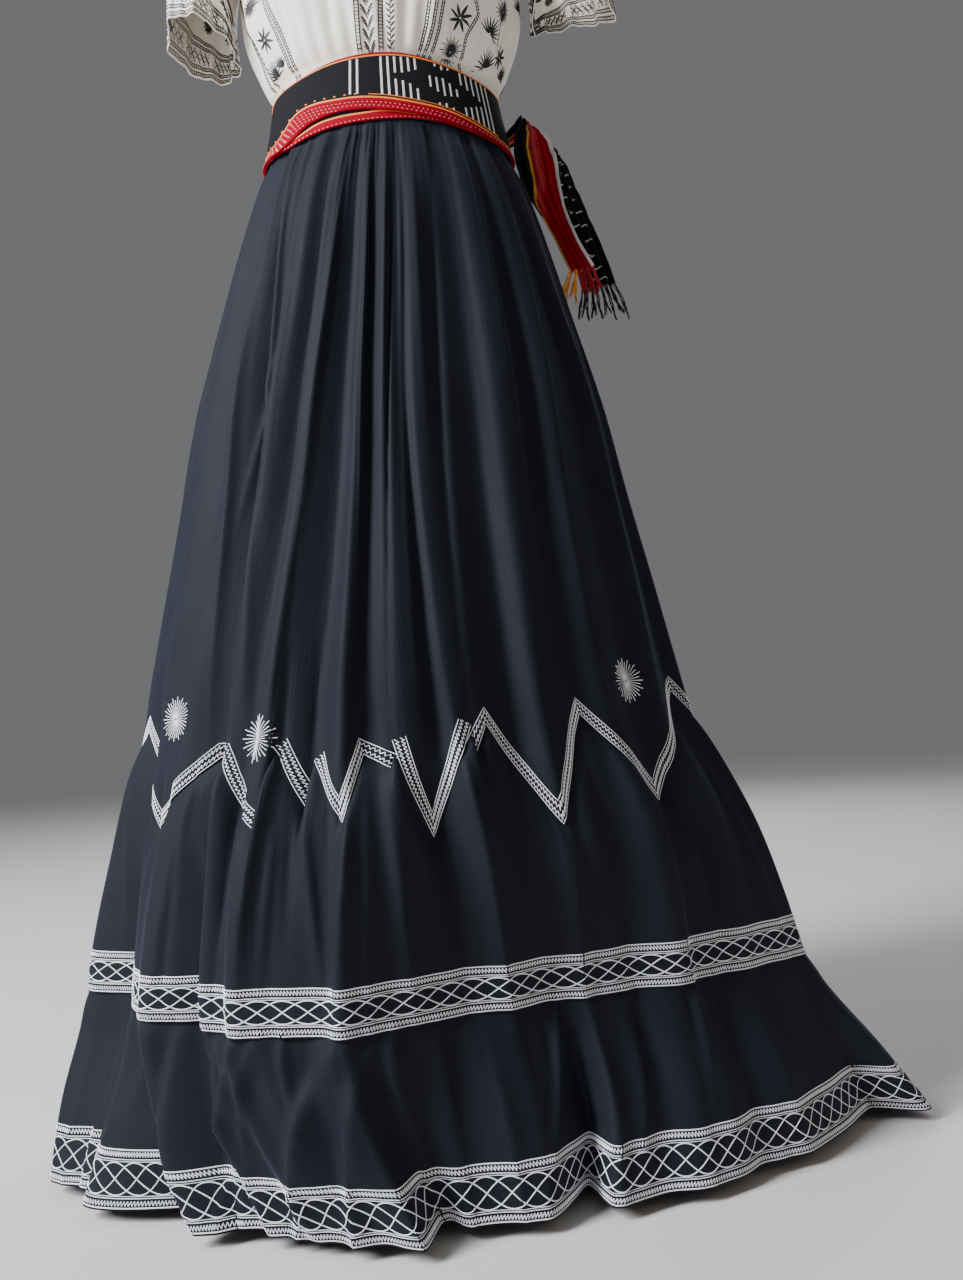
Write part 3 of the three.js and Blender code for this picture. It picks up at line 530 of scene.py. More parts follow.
def cotton_nodes(deep, worn):
    """Linked inputs of a woven cotton: colour from a soft patchy noise, and a bump from warp
    and weft streaks, each a noise drawn out along its thread."""

    def build(tree):
        flat = put(tree, "ShaderNodeUVMap", uv_map="cloth").outputs["UV"]
        patches = put(
            tree, "ShaderNodeTexNoise", {"Vector": flat, "Scale": 1 / WEAR, "Detail": 4.0}
        )
        tone = put(
            tree,
            "ShaderNodeMix",
            {"Factor": patches.outputs["Fac"]},
            data_type="RGBA",
        )
        tone.inputs[6].default_value = linear(deep)
        tone.inputs[7].default_value = linear(worn)
        streaks = []
        for stretch in ((1 / SLUB, 0.06 / SLUB, 1), (0.06 / SLUB, 1 / SLUB, 1)):
            laid = put(tree, "ShaderNodeMapping", {"Vector": flat, "Scale": stretch})
            noise = put(
                tree,
                "ShaderNodeTexNoise",
                {"Vector": laid.outputs["Vector"], "Scale": 1.0, "Detail": 3.0},
            )
            streaks.append(noise.outputs["Fac"])
        weave = put(tree, "ShaderNodeMath", {0: streaks[0], 1: streaks[1]}, operation="ADD")
        relief = put(
            tree,
            "ShaderNodeBump",
            {"Height": weave.outputs["Value"], "Strength": 0.5, "Distance": 0.5 * MM},
        )
        return {"Base Color": tone.outputs[2], "Normal": relief.outputs["Normal"]}

    return build


# Plain-woven cotton, dyed black-navy: matt, with a faint bluish bloom where light grazes it.
skirt_cotton = finish_of(
    "black_navy_cotton",
    {
        "Roughness": 0.7,
        "Specular IOR Level": 0.16,
        "Sheen Weight": 0.12,
        "Sheen Roughness": 0.4,
        "Sheen Tint": linear("#a3b4e0"),
    },
    cotton_nodes("#0e1118", "#171b25"),
)


def half_skirt(name, surface, from_arc, to_arc, columns, top, bottom, rows, node):
    """A panel from side seam to side seam. Top and bottom give its first and last drop at each
    length of cloth, and the rows between them are evenly spaced."""
    arcs = np.linspace(from_arc + SEAM_GAP, to_arc - SEAM_GAP, columns)
    share = np.linspace(0, 1, rows)[:, None]
    drops = top(arcs) + (bottom(arcs) - top(arcs)) * share
    arc_grid = np.broadcast_to(arcs, drops.shape)
    points = surface(arc_grid, drops) * MM
    flat_map = np.stack([arc_grid, -drops], axis=-1) * MM
    panel = piece(name, points, grid_faces(rows, columns), skirt_cotton, flat_map)
    thicken(panel, COTTON_THICKNESS)
    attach(panel, "root")
    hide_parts(node)
    widest = max(
        lengths(surface(arcs, np.full_like(arcs, drop)) * MM)[-1]
        for drop in (drops[0].max(), drops[-1].min())
    )


HALVES = {"front": (0.0, SEAM_ARC), "back": (SEAM_ARC, ROUND)}


def level_at(drop):
    """Rule for an edge at one drop all round."""
    return lambda arc: np.full_like(arc, drop)


def under_zigzag(arc):
    """Rule for the middle tier's upper edge, which is hidden behind the zigzag edge."""
    return zigzag_edge(arc) - LAP


# Each tier, from the waist down: surface, places round it, first and last drop, rows and node.
TIERS = {
    "upper_tier": (upper_tier, 330, level_at(SKIRT_TOP), zigzag_edge, 58, "skirt_upper"),
    "middle_tier": (middle_tier, 330, under_zigzag, level_at(BAND), 34, "skirt_middle"),
    "ruffle": (ruffle_tier, 340, level_at(BAND - LAP), level_at(HEM), 30, "skirt_ruffle"),
}
for half, (from_arc, to_arc) in HALVES.items():
    for tier, (surface, columns, top, bottom, rows, node) in TIERS.items():
        own = f"{node}_{half}"
        name = f"{tier}_{half}"
        half_skirt(name, surface, from_arc, to_arc, columns, top, bottom, rows, own)

# Skirt embroidery: white mercerised cotton thread, machine-sewn through the cloth. A border of
# two satin rows follows the zigzag edge, with starbursts in its notches, and laced bands run
# along the lower edges of the middle tier and of the ruffle.
WHITE_LIFT = 0.55  # height of the thread over the middle of its cloth, in mm


def laid_on(surface, arc, drop):
    """Points of a surface and its outward normals, from its slopes half a millimetre away."""
    step = 0.5
    across = surface(arc + step, drop) - surface(arc - step, drop)
    down = surface(arc, drop + step) - surface(arc, drop - step)
    normals = np.cross(down, across)
    normals /= np.linalg.norm(normals, axis=-1, keepdims=True)
    return surface(arc, drop), normals


def threads(points, normals, half_width, height):
    """Raised threads along the second axis of the points, in mm: each a low roof whose ridge
    stands a height above the line and whose feet lie half a width to each side of it."""
    along = np.gradient(points, axis=1)
    side = np.cross(normals, along)
    side /= np.maximum(np.linalg.norm(side, axis=-1, keepdims=True), 1e-9)
    half = np.broadcast_to(np.asarray(half_width, float), points.shape[:2])[..., None]
    base = points + normals * WHITE_LIFT
    ring = np.stack([base - side * half, base + normals * height, base + side * half], axis=2)
    lines, steps = points.shape[:2]
    n, i, j = np.meshgrid(np.arange(lines), np.arange(steps - 1), np.arange(2), indexing="ij")
    first = (n * steps + i) * 3 + j
    faces = np.stack([first, first + 3, first + 4, first + 1], axis=-1).reshape(-1, 4)
    return ring.reshape(-1, 3) * MM, faces


def joined(parts):
    """One list of points and one of faces from several of each."""
    starts = np.cumsum([0] + [len(points) for points, _ in parts[:-1]])
    return (
        np.concatenate([points for points, _ in parts]),
        np.concatenate([faces + start for (_, faces), start in zip(parts, starts)]),
    )


def thread_nodes(pale, dark, strand):
    """Linked inputs of sewn thread: colour and relief from a fine noise of one strand's size."""

    def build(tree):
        place = put(tree, "ShaderNodeTexCoord").outputs["Object"]
        noise = put(
            tree, "ShaderNodeTexNoise", {"Vector": place, "Scale": 1 / strand, "Detail": 2.0}
        )
        tone = put(tree, "ShaderNodeMix", {"Factor": noise.outputs["Fac"]}, data_type="RGBA")
        tone.inputs[6].default_value = linear(dark)
        tone.inputs[7].default_value = linear(pale)
        relief = put(
            tree,
            "ShaderNodeBump",
            {"Height": noise.outputs["Fac"], "Strength": 0.4, "Distance": 0.2 * MM},
        )
        return {"Base Color": tone.outputs[2], "Normal": relief.outputs["Normal"]}

    return build


# Mercerised thread: bright white with a soft shine, its strands drawn 1.2 mm coarse.
white_thread = finish_of(
    "white_mercerised_thread",
    {"Roughness": 0.5, "Specular IOR Level": 0.5, "Sheen Weight": 0.1},
    thread_nodes("#ffffff", "#cfd3dc", 1.2 * MM),
)

TOOTH = 2.9  # length of cloth that one tooth of a satin row takes
LINE_STEP = 3.0
THREAD_HALF = 0.42  # half width of a satin stroke or a single line
SATIN_RISE, LINE_RISE, SPOKE_RISE = 0.5, 0.4, 0.45


def mitred(corners, offset):
    """Corners of an edge moved up by an offset: each along the bisector of its two sides, by
    offset / cos(half the turn), but by 1.7 times the offset at most, or 1.2 at a peak."""
    sides = np.diff(corners, axis=0)
    up = np.stack([sides[:, 1], -sides[:, 0]], axis=-1)
    up /= np.linalg.norm(up, axis=-1, keepdims=True)
    before, after = np.concatenate([up[:1], up]), np.concatenate([up, up[-1:]])
    bisector = (before + after) / np.maximum(1 + (before * after).sum(-1, keepdims=True), 1e-6)
    most = np.where(before[:, 0] * after[:, 1] > before[:, 1] * after[:, 0], 1.2, 1.7)
    reach = np.linalg.norm(bisector, axis=-1)
    return corners + offset * bisector * np.minimum(1, most / reach)[:, None]


def satin(low, high):
    """Strokes of a satin row between two lines of flat-cloth points: up, then down again."""
    upward_strokes = np.stack([low[:-1], high[1:]], axis=1)
    strokes = np.stack([upward_strokes, np.stack([high[1:], low[1:]], axis=1)], axis=1)
    return strokes.reshape(-1, 2, 2)


def along_edge(corners, offset, step):
    """Flat-cloth points at even steps along an edge moved up by an offset, with the same number
    of them on each side whatever the offset."""
    counts = np.maximum(2, (np.linalg.norm(np.diff(corners, axis=0), axis=-1) / step).astype(int))
    places = np.concatenate([k + np.arange(n) / n for k, n in enumerate(counts)] + [[len(counts)]])
    moved = mitred(corners, offset)
    return np.stack([np.interp(places, np.arange(len(moved)), moved[:, k]) for k in (0, 1)], axis=-1)


def sewn(surface, flat, half_width, height):
    """Threads through flat-cloth points (arc, drop), laid on a tier."""
    points, normals = laid_on(surface, flat[..., 0], flat[..., 1])
    return threads(points, normals, half_width, height)


EDGE_TOOTH = 3.8
EDGE_ROWS = ((2.5, 5.7), (7.7, 10.9))
EDGE_LINES = (0.6, 12.8)
STARS = {"front": [(158, 612), (314, 634), (723, 600)]}
STARS["back"] = [(back_arcs[k], 606) for k in (2, 6, 10, 14)]
STAR_RADIUS, STAR_SPOKES = 21.5, 32
for half, runs in EDGE_RUNS.items():
    parts = []
    for run in runs:
        corners = np.array(run, float)
        for low, high in EDGE_ROWS:
            strokes = satin(*(along_edge(corners, offset, EDGE_TOOTH) for offset in (low, high)))
            parts.append(sewn(upper_tier, strokes, THREAD_HALF, SATIN_RISE))
        for offset in EDGE_LINES:
            line = along_edge(corners, offset, LINE_STEP)[None]
            parts.append(sewn(upper_tier, line, THREAD_HALF, LINE_RISE))
    spokes = np.arange(STAR_SPOKES)
    angles = 2 * np.pi * spokes / STAR_SPOKES
    outer = STAR_RADIUS * (0.93 + 0.07 * np.cos(spokes * np.pi))
    shares = np.linspace(0.06, 1, 5)
    for arc, drop in STARS[half]:
        reach = outer[:, None] * shares
        flat = np.stack(
            [arc + reach * np.sin(angles)[:, None], drop + reach * np.cos(angles)[:, None]], axis=-1
        )
        parts.append(sewn(upper_tier, flat, 0.2 + 0.3 * shares, SPOKE_RISE))
    border = piece(f"zigzag_embroidery_{half}", *joined(parts), white_thread)
    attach(border, "root")

LACE_PERIOD, LACE_STRANDS = 86.0, 4
LACE_INSET = 10.5  # from a band's border to the crests of its lattice
LACE_HALF, LACE_RISE = 0.55, 0.6
BAND_PLACES = 1600
BAND_END = 1.0  # how far a band stops short of a side seam
BAND_SATIN = (2.4, 6.2)
BAND_LINES = ((0.8, 0.6), (8.2, 0.4), (9.8, 0.3))  # distance from the border, half width
MIDDLE_BAND, HEM_BAND, BAND_FOOT = 41.0, 47.0, 1.2


def laced_band(name, surface, from_arc, to_arc, top, bottom):
    """A band along a tier's lower edge: at both borders a line, a satin row and two lines, and
    between them four sine waves a quarter of a period apart, which cross into a lattice."""
    arcs = np.linspace(from_arc + BAND_END, to_arc - BAND_END, BAND_PLACES)
    run = lengths(surface(arcs, np.full_like(arcs, (top + bottom) / 2)))
    parts = []

    def at(length, drop):
        return np.stack([np.interp(length, run, arcs), np.broadcast_to(drop, length.shape)], axis=-1)

    teeth = np.linspace(0, run[-1], int(run[-1] / TOOTH))
    fine = np.linspace(0, run[-1], int(run[-1] / LINE_STEP))
    for edge, inward in ((top, 1), (bottom, -1)):
        strokes = satin(*(at(teeth, edge + offset * inward) for offset in BAND_SATIN))
        parts.append(sewn(surface, strokes, THREAD_HALF, SATIN_RISE))
        for offset, half_width in BAND_LINES:
            line = at(fine, edge + offset * inward)[None]
            parts.append(sewn(surface, line, half_width, LINE_RISE))
    middle, swing = (top + bottom) / 2, (bottom - top) / 2 - LACE_INSET
    wave_count = round(run[-1] / LACE_PERIOD)
    for strand in range(LACE_STRANDS):
        phase = 2 * np.pi * (wave_count * fine / run[-1] + strand / LACE_STRANDS)
        wave = at(fine, middle + swing * np.sin(phase))[None]
        parts.append(sewn(surface, wave, LACE_HALF, LACE_RISE))
    band = piece(name, *joined(parts), white_thread)
    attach(band, "root")


for half, (from_arc, to_arc) in HALVES.items():
    for band_name, surface, edge, height in (
        ("middle_band", middle_tier, BAND, MIDDLE_BAND),
        ("hem_band", ruffle_tier, HEM, HEM_BAND),
    ):
        top, bottom = edge - height, edge - BAND_FOOT
        laced_band(f"{band_name}_{half}", surface, from_arc, to_arc, top, bottom)

# Waistband and sash turns: the waistband is a hidden strip of the skirt's cotton. The sash is a
# firm narrow weave, black with white bars of extra weft, an orange line and a dotted red edge
# along each side, and it is wound twice round the waist.
SASH_HEIGHT = 70.0
TURN_STEP = 2.5
SASH_THICKNESS = 1.6 * MM
WAIST_LOW, WAIST_HIGH = (139.0, 104.5), (127.0, 99.0)  # half width and half depth


def waist_point(angle, height, inset):
    """Point on the waist's ellipse, in mm: (w sin t, -d cos t, height), whose half axes run
    from those of the sash's lower edge to those of its upper edge, less the inset."""
    share = height / SASH_HEIGHT
    wide, deep = (low + (high - low) * share - inset for low, high in zip(WAIST_LOW, WAIST_HIGH))
    return np.stack([wide * np.sin(angle), -deep * np.cos(angle), height + 0 * angle], axis=-1)


WAIST_PLACES = 2881
waist_angles = np.linspace(-np.pi, np.pi, WAIST_PLACES)
waist_run = lengths(waist_point(waist_angles, np.full(WAIST_PLACES, SASH_HEIGHT / 2), 0))
WAIST_ROUND = waist_run[-1]
waist_run = waist_run - WAIST_ROUND / 2


def waist_angle(run):
    """Azimuth of a place so many mm to the viewer's right of the front's middle."""
    wound = (run + WAIST_ROUND / 2) % WAIST_ROUND - WAIST_ROUND / 2
    return np.interp(wound, waist_run, waist_angles)


TURN_LEVELS = np.array(
    [
        # azimuth; heights of the outer turn's lower edge, orange line and upper edge, and of the
        # inner turn's lower edge and orange line
        [-90, -5, 5, 64, -7, -1],
        [-60, -10, 4, 64, -11, -5],
        [-51, -11, 13, 64, -12, -7],
        [-45, -6, 22, 64.5, -12, -5],
        [-38, 3, 26.5, 65.5, -9, 0],
        [-30, 8, 27, 67, -6, 4.5],
        [-20, 11, 25.5, 69, -3.5, 6.5],
        [-9, 10.5, 24, 70.5, -2, 7],
        [3, 7.5, 20.5, 71, -1, 8],
        [14, 4, 16.5, 70, -0.5, 5],
        [28, -1, 12, 66, -2, 2],
        [40, -4.5, 6.5, 63, -6, 0],
        [54, -7.5, 1, 60.5, -8, -2],
        [65, -9, -1, 60, -9, -3],
        [90, -6, 2, 61, -7, -1],
        [130, 2, 12, 65, -4, 3],
        [180, 6, 17, 68, -3, 5],
        [230, 3, 14, 66, -4, 4],
        [270, -5, 5, 64, -7, -1],
    ],
    float,
)
OUTER_EDGE, OUTER_LINE, OUTER_TOP, INNER_EDGE, INNER_LINE = range(1, 6)
FLARE = 0.3  # how far the sash's lower edge stands out over the skirt, for each mm below 0


def level_of(column, angle):
    """Height of one of the lines of the sash at an azimuth."""
    place = (np.degrees(angle) + 90) % 360 - 90
    return curve(TURN_LEVELS[:, 0], TURN_LEVELS[:, column], place)


def inner_top(angle):
    """Upper edge of the inner turn: 4 mm over the outer turn's in front, below it elsewhere."""
    return level_of(OUTER_TOP, angle) + 4 * np.maximum(np.cos(1.5 * (angle + 0.1)), -0.6)


TURNS = {
    "outer": (0.0, OUTER_EDGE, OUTER_LINE, lambda angle: level_of(OUTER_TOP, angle), 1.4),
    "inner": (TURN_STEP, INNER_EDGE, INNER_LINE, inner_top, 4.2),
}


def turn_point(turn, angle, height):
    """Point of a turn at a height, pressed in a little by uneven winding: 0.35 mm times two
    slow sines, and standing out below 0, where it lies over the skirt."""
    uneven = 0.35 * np.sin(5 * angle + 1.1) * np.sin(0.09 * height + 2.3 * np.cos(2 * angle))
    return waist_point(angle, height, TURNS[turn][0] + uneven - FLARE * np.maximum(-height, 0))


WAVE_UNIT = 3.2  # the wave node sets its bands about 1 / 3.2 of its unit apart


def woven_nodes(deep, worn, rib):
    """Linked inputs of a ribbed weave: ribs across the strip, as a sine along the cloth's
    length, over a fine noise that also varies the colour."""

    def build(tree):
        flat = put(tree, "ShaderNodeUVMap", uv_map="cloth").outputs["UV"]
        ribs = put(
            tree,
            "ShaderNodeTexWave",
            {"Vector": flat, "Scale": 1 / rib / WAVE_UNIT, "Distortion": 1.2, "Detail": 2.0},
            bands_direction="X",
        )
        noise = put(tree, "ShaderNodeTexNoise", {"Vector": flat, "Scale": 1 / (2.2 * MM)})
        tone = put(tree, "ShaderNodeMix", {"Factor": noise.outputs["Fac"]}, data_type="RGBA")
        tone.inputs[6].default_value = linear(deep)
        tone.inputs[7].default_value = linear(worn)
        relief = put(
            tree,
            "ShaderNodeBump",
            {"Height": ribs.outputs["Fac"], "Strength": 0.35, "Distance": 0.4 * MM},
        )
        return {"Base Color": tone.outputs[2], "Normal": relief.outputs["Normal"]}

    return build


RIB = 1.3 * MM  # warp ribs, in truth about 0.6 mm apart, drawn twice as coarse as they are
sash_black = finish_of(
    "black_ribbed_weave",
    {"Roughness": 0.85, "Specular IOR Level": 0.2},
    woven_nodes("#08090c", "#111216", RIB),
)
sash_red = finish_of(
    "crimson_ribbed_weave",
    {"Roughness": 0.85, "Specular IOR Level": 0.08},
    woven_nodes("#7c0016", "#a80020", RIB),
)
dark_red = finish_of(
    "dark_red_ribbed_weave", {"Roughness": 0.65}, woven_nodes("#8e0a18", "#b81226", RIB)
)
orange_thread = finish_of(
    "orange_cotton_thread", {"Roughness": 0.55}, thread_nodes("#ff9a2e", "#e2661a", 1.0 * MM)
)
yellow_thread = finish_of(
    "yellow_cotton_thread", {"Roughness": 0.55}, thread_nodes("#f0b53a", "#c27d14", 1.0 * MM)
)
pale_thread = finish_of(
    "off_white_cotton_thread", {"Roughness": 0.6}, thread_nodes("#ece9e6", "#bdb9b8", 1.0 * MM)
)
pink_thread = finish_of(
    "pale_pink_cotton_thread", {"Roughness": 0.6}, thread_nodes("#f8bcc8", "#e8869a", 1.0 * MM)
)


def painted(made, materials, choice):
    """Gives each face of a piece one of several materials."""
    for material in materials:
        made.data.materials.append(material)
    made.data.polygons.foreach_set("material_index", choice.astype(np.int32).ravel())
    return made


def worn_as(made, slot, *nodes):
    """Fixes a piece to the outfit and lets it stand for its solids. The slot is not used."""
    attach(made, "root")
    if nodes:
        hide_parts(*nodes)
    return made


RING_PLACES, WAISTBAND_ROWS = 240, 9
WAISTBAND_EDGES = (6.4, 46)
RED_ROWS, FIELD_ROWS, TOP_ROWS = 5, 17, 3
ring_angles = np.linspace(-np.pi, np.pi, RING_PLACES, endpoint=False)
ring_runs = ring_angles * WAIST_ROUND / (2 * np.pi)
band_heights = np.linspace(*WAISTBAND_EDGES, WAISTBAND_ROWS)[:, None]
band_angles, band_levels = np.broadcast_arrays(ring_angles, band_heights)
band_points = waist_point(band_angles, band_levels, 2 * TURN_STEP)
band_map = np.stack(np.broadcast_arrays(ring_runs, band_heights), axis=-1)
band_faces = grid_faces(WAISTBAND_ROWS, RING_PLACES, True)
waistband = piece("waistband", band_points * MM, band_faces, skirt_cotton, band_map * MM)
thicken(waistband, SASH_THICKNESS)
worn_as(waistband, "skirt_cotton", "skirt_waistband")

for turn, (_, edge, line, top, red_edge) in TURNS.items():
    marks = [
        level_of(edge, ring_angles),
        level_of(line, ring_angles),
        top(ring_angles) - red_edge,
        top(ring_angles),
    ]
    heights = np.concatenate(
        [
            low + (high - low) * np.linspace(0, 1, rows, endpoint=False)[:, None]
            for low, high, rows in zip(marks, marks[1:], (RED_ROWS, FIELD_ROWS, TOP_ROWS))
        ]
        + [marks[3][None]]
    )
    points = turn_point(turn, np.broadcast_to(ring_angles, heights.shape), heights)
    flat_map = np.stack([np.broadcast_to(ring_runs, heights.shape), heights], axis=-1)
    faces = grid_faces(len(heights), len(ring_angles), True)
    cloth = piece(f"sash_{turn}", points * MM, faces, sash_black, flat_map * MM)
    row_of = np.repeat(np.arange(len(heights) - 1), len(ring_angles))
    upper_red = (row_of >= RED_ROWS + FIELD_ROWS) & (turn == "inner")
    painted(cloth, [sash_red], (row_of < RED_ROWS) | upper_red)
    thicken(cloth, SASH_THICKNESS)
    worn_as(cloth, "sash_weave", f"sash_{turn}_turn")
    flat = (float(WAIST_ROUND) * MM, SASH_HEIGHT * MM)


TURN_LIFT = 0.3  # how much higher thread lies on the sash than on the thinner skirt cloth


def on_turn(turn, run, height):
    """Points on a turn's face and its outward normals, from the run round the waist in mm."""
    step = 0.4
    angle = waist_angle(run)
    sides = [turn_point(turn, waist_angle(run + k), height) for k in (step, -step)]
    ends = [turn_point(turn, angle, height + k) for k in (step, -step)]
    normals = np.cross(sides[0] - sides[1], ends[0] - ends[1])
    normals /= np.linalg.norm(normals, axis=-1, keepdims=True)
    return turn_point(turn, angle, height) + normals * TURN_LIFT, normals


# White bars: each row gives the bars of one weft, as shares of the black field's height, in one
# figure of the weave, which leaves a black diamond with a small barred one inside it.
BAR_STEP = 7.4
FIGURE = [
    [(0, 1)],
    [(0, 1)],
    [(0, 0.43), (0.59, 1)],
    [(0, 0.41), (0.61, 1)],
    [(0, 0.36), (0.66, 1)],
    [(0, 0.27), (0.73, 1)],
    [],
    [(0.40, 0.67)],
    [(0, 0.06), (0.33, 0.68), (0.94, 1)],
    [(0, 0.1), (0.28, 0.70), (0.9, 1)],
    [(0, 0.06), (0.33, 0.64), (0.94, 1)],
    [(0.38, 0.56)],
    [(0, 0.2), (0.72, 1)],
    [(0, 0.27), (0.66, 1)],
    [(0, 0.36), (0.60, 1)],
    [(0, 0.43), (0.55, 1)],
    [(0, 1)],
    [(0, 1)],
]
FIGURE_STARTS = (2.6, 262.0, -330.0)
LONE_PAIRS = (-31.0, -23.2, 226.0, 233.8, -364.0, -356.2)
bars = [
    (start + BAR_STEP * k, low, high)
    for start in FIGURE_STARTS
    for k, row in enumerate(FIGURE)
    for low, high in row
]
bars = np.array(bars + [(run, 0, 1) for run in LONE_PAIRS])
steps = np.linspace(0, 1, 12)
bar_share = bars[:, 1, None] + (bars[:, 2] - bars[:, 1])[:, None] * steps
bar_run = np.broadcast_to(bars[:, 0, None], bar_share.shape)
field_low = level_of(OUTER_LINE, waist_angle(bar_run)) + 3.4
field_high = level_of(OUTER_TOP, waist_angle(bar_run)) - 3
points, normals = on_turn("outer", bar_run, field_low + (field_high - field_low) * bar_share)
white_bars = piece("sash_white_bars", *threads(points, normals, 1.15, 0.35), pale_thread)
worn_as(white_bars, "sash_edge")


STITCH_RISE = 0.5
LINE_PLACES = 420


def beads(turn, height_of, spacing, long, half_width, keep, stagger=0.0):
    """Short raised stitches in a row round a turn, where a rule keeps them."""
    run = (np.arange(int(WAIST_ROUND / spacing)) + stagger) * spacing - WAIST_ROUND / 2
    angle = waist_angle(run)
    run = run[keep(angle)]
    line = run[:, None] + np.linspace(-0.5, 0.5, 3) * long
    points, normals = on_turn(turn, line, height_of(waist_angle(line)))
    return threads(points, normals, np.array([0.6, 1, 0.6]) * half_width, STITCH_RISE)


def round_line(turn, height_of, half_width, first=-180.0, last=180.0):
    """One raised thread along a turn, from azimuth to azimuth in degrees."""
    ends = np.interp(np.radians([first, last]), waist_angles, waist_run)
    run = np.linspace(*ends, LINE_PLACES)
    points, normals = on_turn(turn, run, height_of(waist_angle(run)))
    return threads(points[None], normals[None], half_width, STITCH_RISE)


def over(column, rise):
    """Rule for the height a fixed rise over one of the sash's lines."""
    return lambda angle: level_of(column, angle) + rise


orange_parts = [
    round_line("outer", over(OUTER_LINE, 0), 1.0),
    round_line("outer", over(OUTER_LINE, 3.3), 0.45, -5, 62),
    round_line("outer", over(OUTER_TOP, -1.0), 0.8),
    round_line("inner", over(INNER_LINE, 0), 1.0),
    beads(
        "outer", over(OUTER_LINE, 3.6), 11.5, 2.4, 0.9, lambda a: (np.degrees(a) + 8) % 360 > 80
    ),
]
orange_lines = piece("sash_orange_lines", *joined(orange_parts), orange_thread)
worn_as(orange_lines, "sash_edge")
DOT = (4.7, 1.5, 0.5)  # spacing, length and half width
DOT_CLEARANCE = 1.4
DOT_ROWS = ((5.5, 0.0), (9.2, 0.5), (12.9, 0.0), (16.6, 0.5), (20.3, 0.0))  # depth, stagger
dot_parts = [
    beads(
        "outer",
        over(OUTER_LINE, -below),
        *DOT,
        lambda a, low=below + DOT_CLEARANCE: level_of(OUTER_LINE, a) - low > level_of(OUTER_EDGE, a),
        stagger,
    )
    for below, stagger in DOT_ROWS
]
dot_parts.append(beads("inner", over(INNER_EDGE, 1.6), *DOT, lambda a: np.full(a.shape, True)))
pink_dots = piece("sash_pink_dots", *joined(dot_parts), pink_thread)
worn_as(pink_dots, "sash_edge")

# Sash ends: the two ends of the strip, crumpled lengthwise where they were pulled through and
# hanging at the right hip. The front one shows its red edge, the back one its barred field.
FRONT_END = np.array(
    [
        # x, y, z, width and azimuth of the width
        [133.2, 23.5, 38, 16, 105],
        [148, 24, 51, 19, 94],
        [160, 20, 55, 29, 66],
        [165, 15, 43, 41, 36],
        [165, 13, 25, 48, 20],
        [168, 12, 2, 50, 12],
        [174, 11, -30, 42, 8],
        [186, 8, -66, 30, 10],
        [198, 3, -100, 28, 12],
        [210, -4, -132, 32, 14],
    ]
)
BACK_END = np.array(
    [
        [124.2, 42.7, 38, 14, 118],
        [142, 50, 50, 17, 106],
        [160, 55, 57, 20, 92],
        [178, 57, 56, 24, 78],
        [192, 58, 42, 28, 64],
        [201, 58, 14, 31, 50],
        [209, 57, -20, 34, 36],
        [218, 55, -58, 38, 24],
        [228, 53, -100, 42, 15],
        [235, 52, -130, 44, 14],
    ]
)
END_PLEAT = 3.0


def end_point(rows, share, along):
    """Point of a pleated strip, in mm: its middle line, plus its width times (share - half)
    across, plus a cosine of four pleats and two slow sines out of its face. The strip's width
    lies level, in the direction whose azimuth the rows give."""
    x, y, z, wide, azimuth = (curve(np.arange(len(rows)), rows[:, k], along) for k in range(5))
    centre = np.stack([x, y, z], axis=-1)
    ends = [np.clip(along + k, 0, len(rows) - 1) for k in (0.5, -0.5)]
    after, before = (
        np.stack([curve(np.arange(len(rows)), rows[:, k], end) for k in range(3)], axis=-1)
        for end in ends
    )
    tangent = (after - before) / np.linalg.norm(after - before, axis=-1, keepdims=True)
    turn = np.radians(azimuth)
    out = np.cross(tangent, np.stack([np.cos(turn), np.sin(turn), 0 * turn], axis=-1))
    out /= np.linalg.norm(out, axis=-1, keepdims=True)
    across = np.cross(out, tangent)
    free = np.sin(np.pi * along / (len(rows) - 1))
    pleat = END_PLEAT * np.cos(8 * np.pi * share) * (0.85 + 0.15 * np.sin(1.7 * along))
    crumple = free * (0.7 * np.sin(5 * along + 9 * share) + 0.4 * np.sin(11 * along - 6 * share))
    return centre + across * (wide * (share - 0.5))[..., None] + out * (pleat + crumple)[..., None]


END_COLUMNS, END_ROWS = 65, 110
END_THICKNESS = 1.2 * MM
END_FLAT = (60.0, 22.0)  # flat width of a sash end, and its length from row to row, in mm


def sash_end(name, rows, colours, choose, node):
    """A strip of 65 points across by 110 along, each face in the colour that a rule chooses."""
    shares, places = np.linspace(0, 1, END_COLUMNS), np.linspace(0, len(rows) - 1, END_ROWS)
    share, along = np.meshgrid(shares, places)
    points = end_point(rows, share, along)
    flat_map = np.stack([along * END_FLAT[1], share * END_FLAT[0]], axis=-1) * MM
    faces = grid_faces(END_ROWS, END_COLUMNS)
    made = piece(name, points * MM, faces, colours[0], flat_map)
    half_column = 0.5 / (END_COLUMNS - 1)
    painted(made, colours[1:], choose(share[:-1, :-1] + half_column, along[:-1, :-1]))
    thicken(made, END_THICKNESS)
    worn_as(made, "sash_weave", node)
    long = lengths(points[:, END_COLUMNS // 2] * MM)[-1]


def front_colours(share, along):
    """Black, an orange line, dark red, crimson and a pale edge. Black and dark red narrow
    downwards, where the strip is folded under."""
    black = 0.36 * (1 - eased((along - 5.2) / 1.8))
    orange = black + 0.06
    dark = orange + 0.27 * (1 - 0.8 * eased((along - 5.5) / 2.5))
    return np.select([share < black, share < orange, share < dark, share < 0.94], [0, 1, 2, 3], 4)


def back_colours(share, along):
    """Black with a red and an orange line near its left edge."""
    return np.select([share < 0.1, share < 0.16], [1, 2], 0)


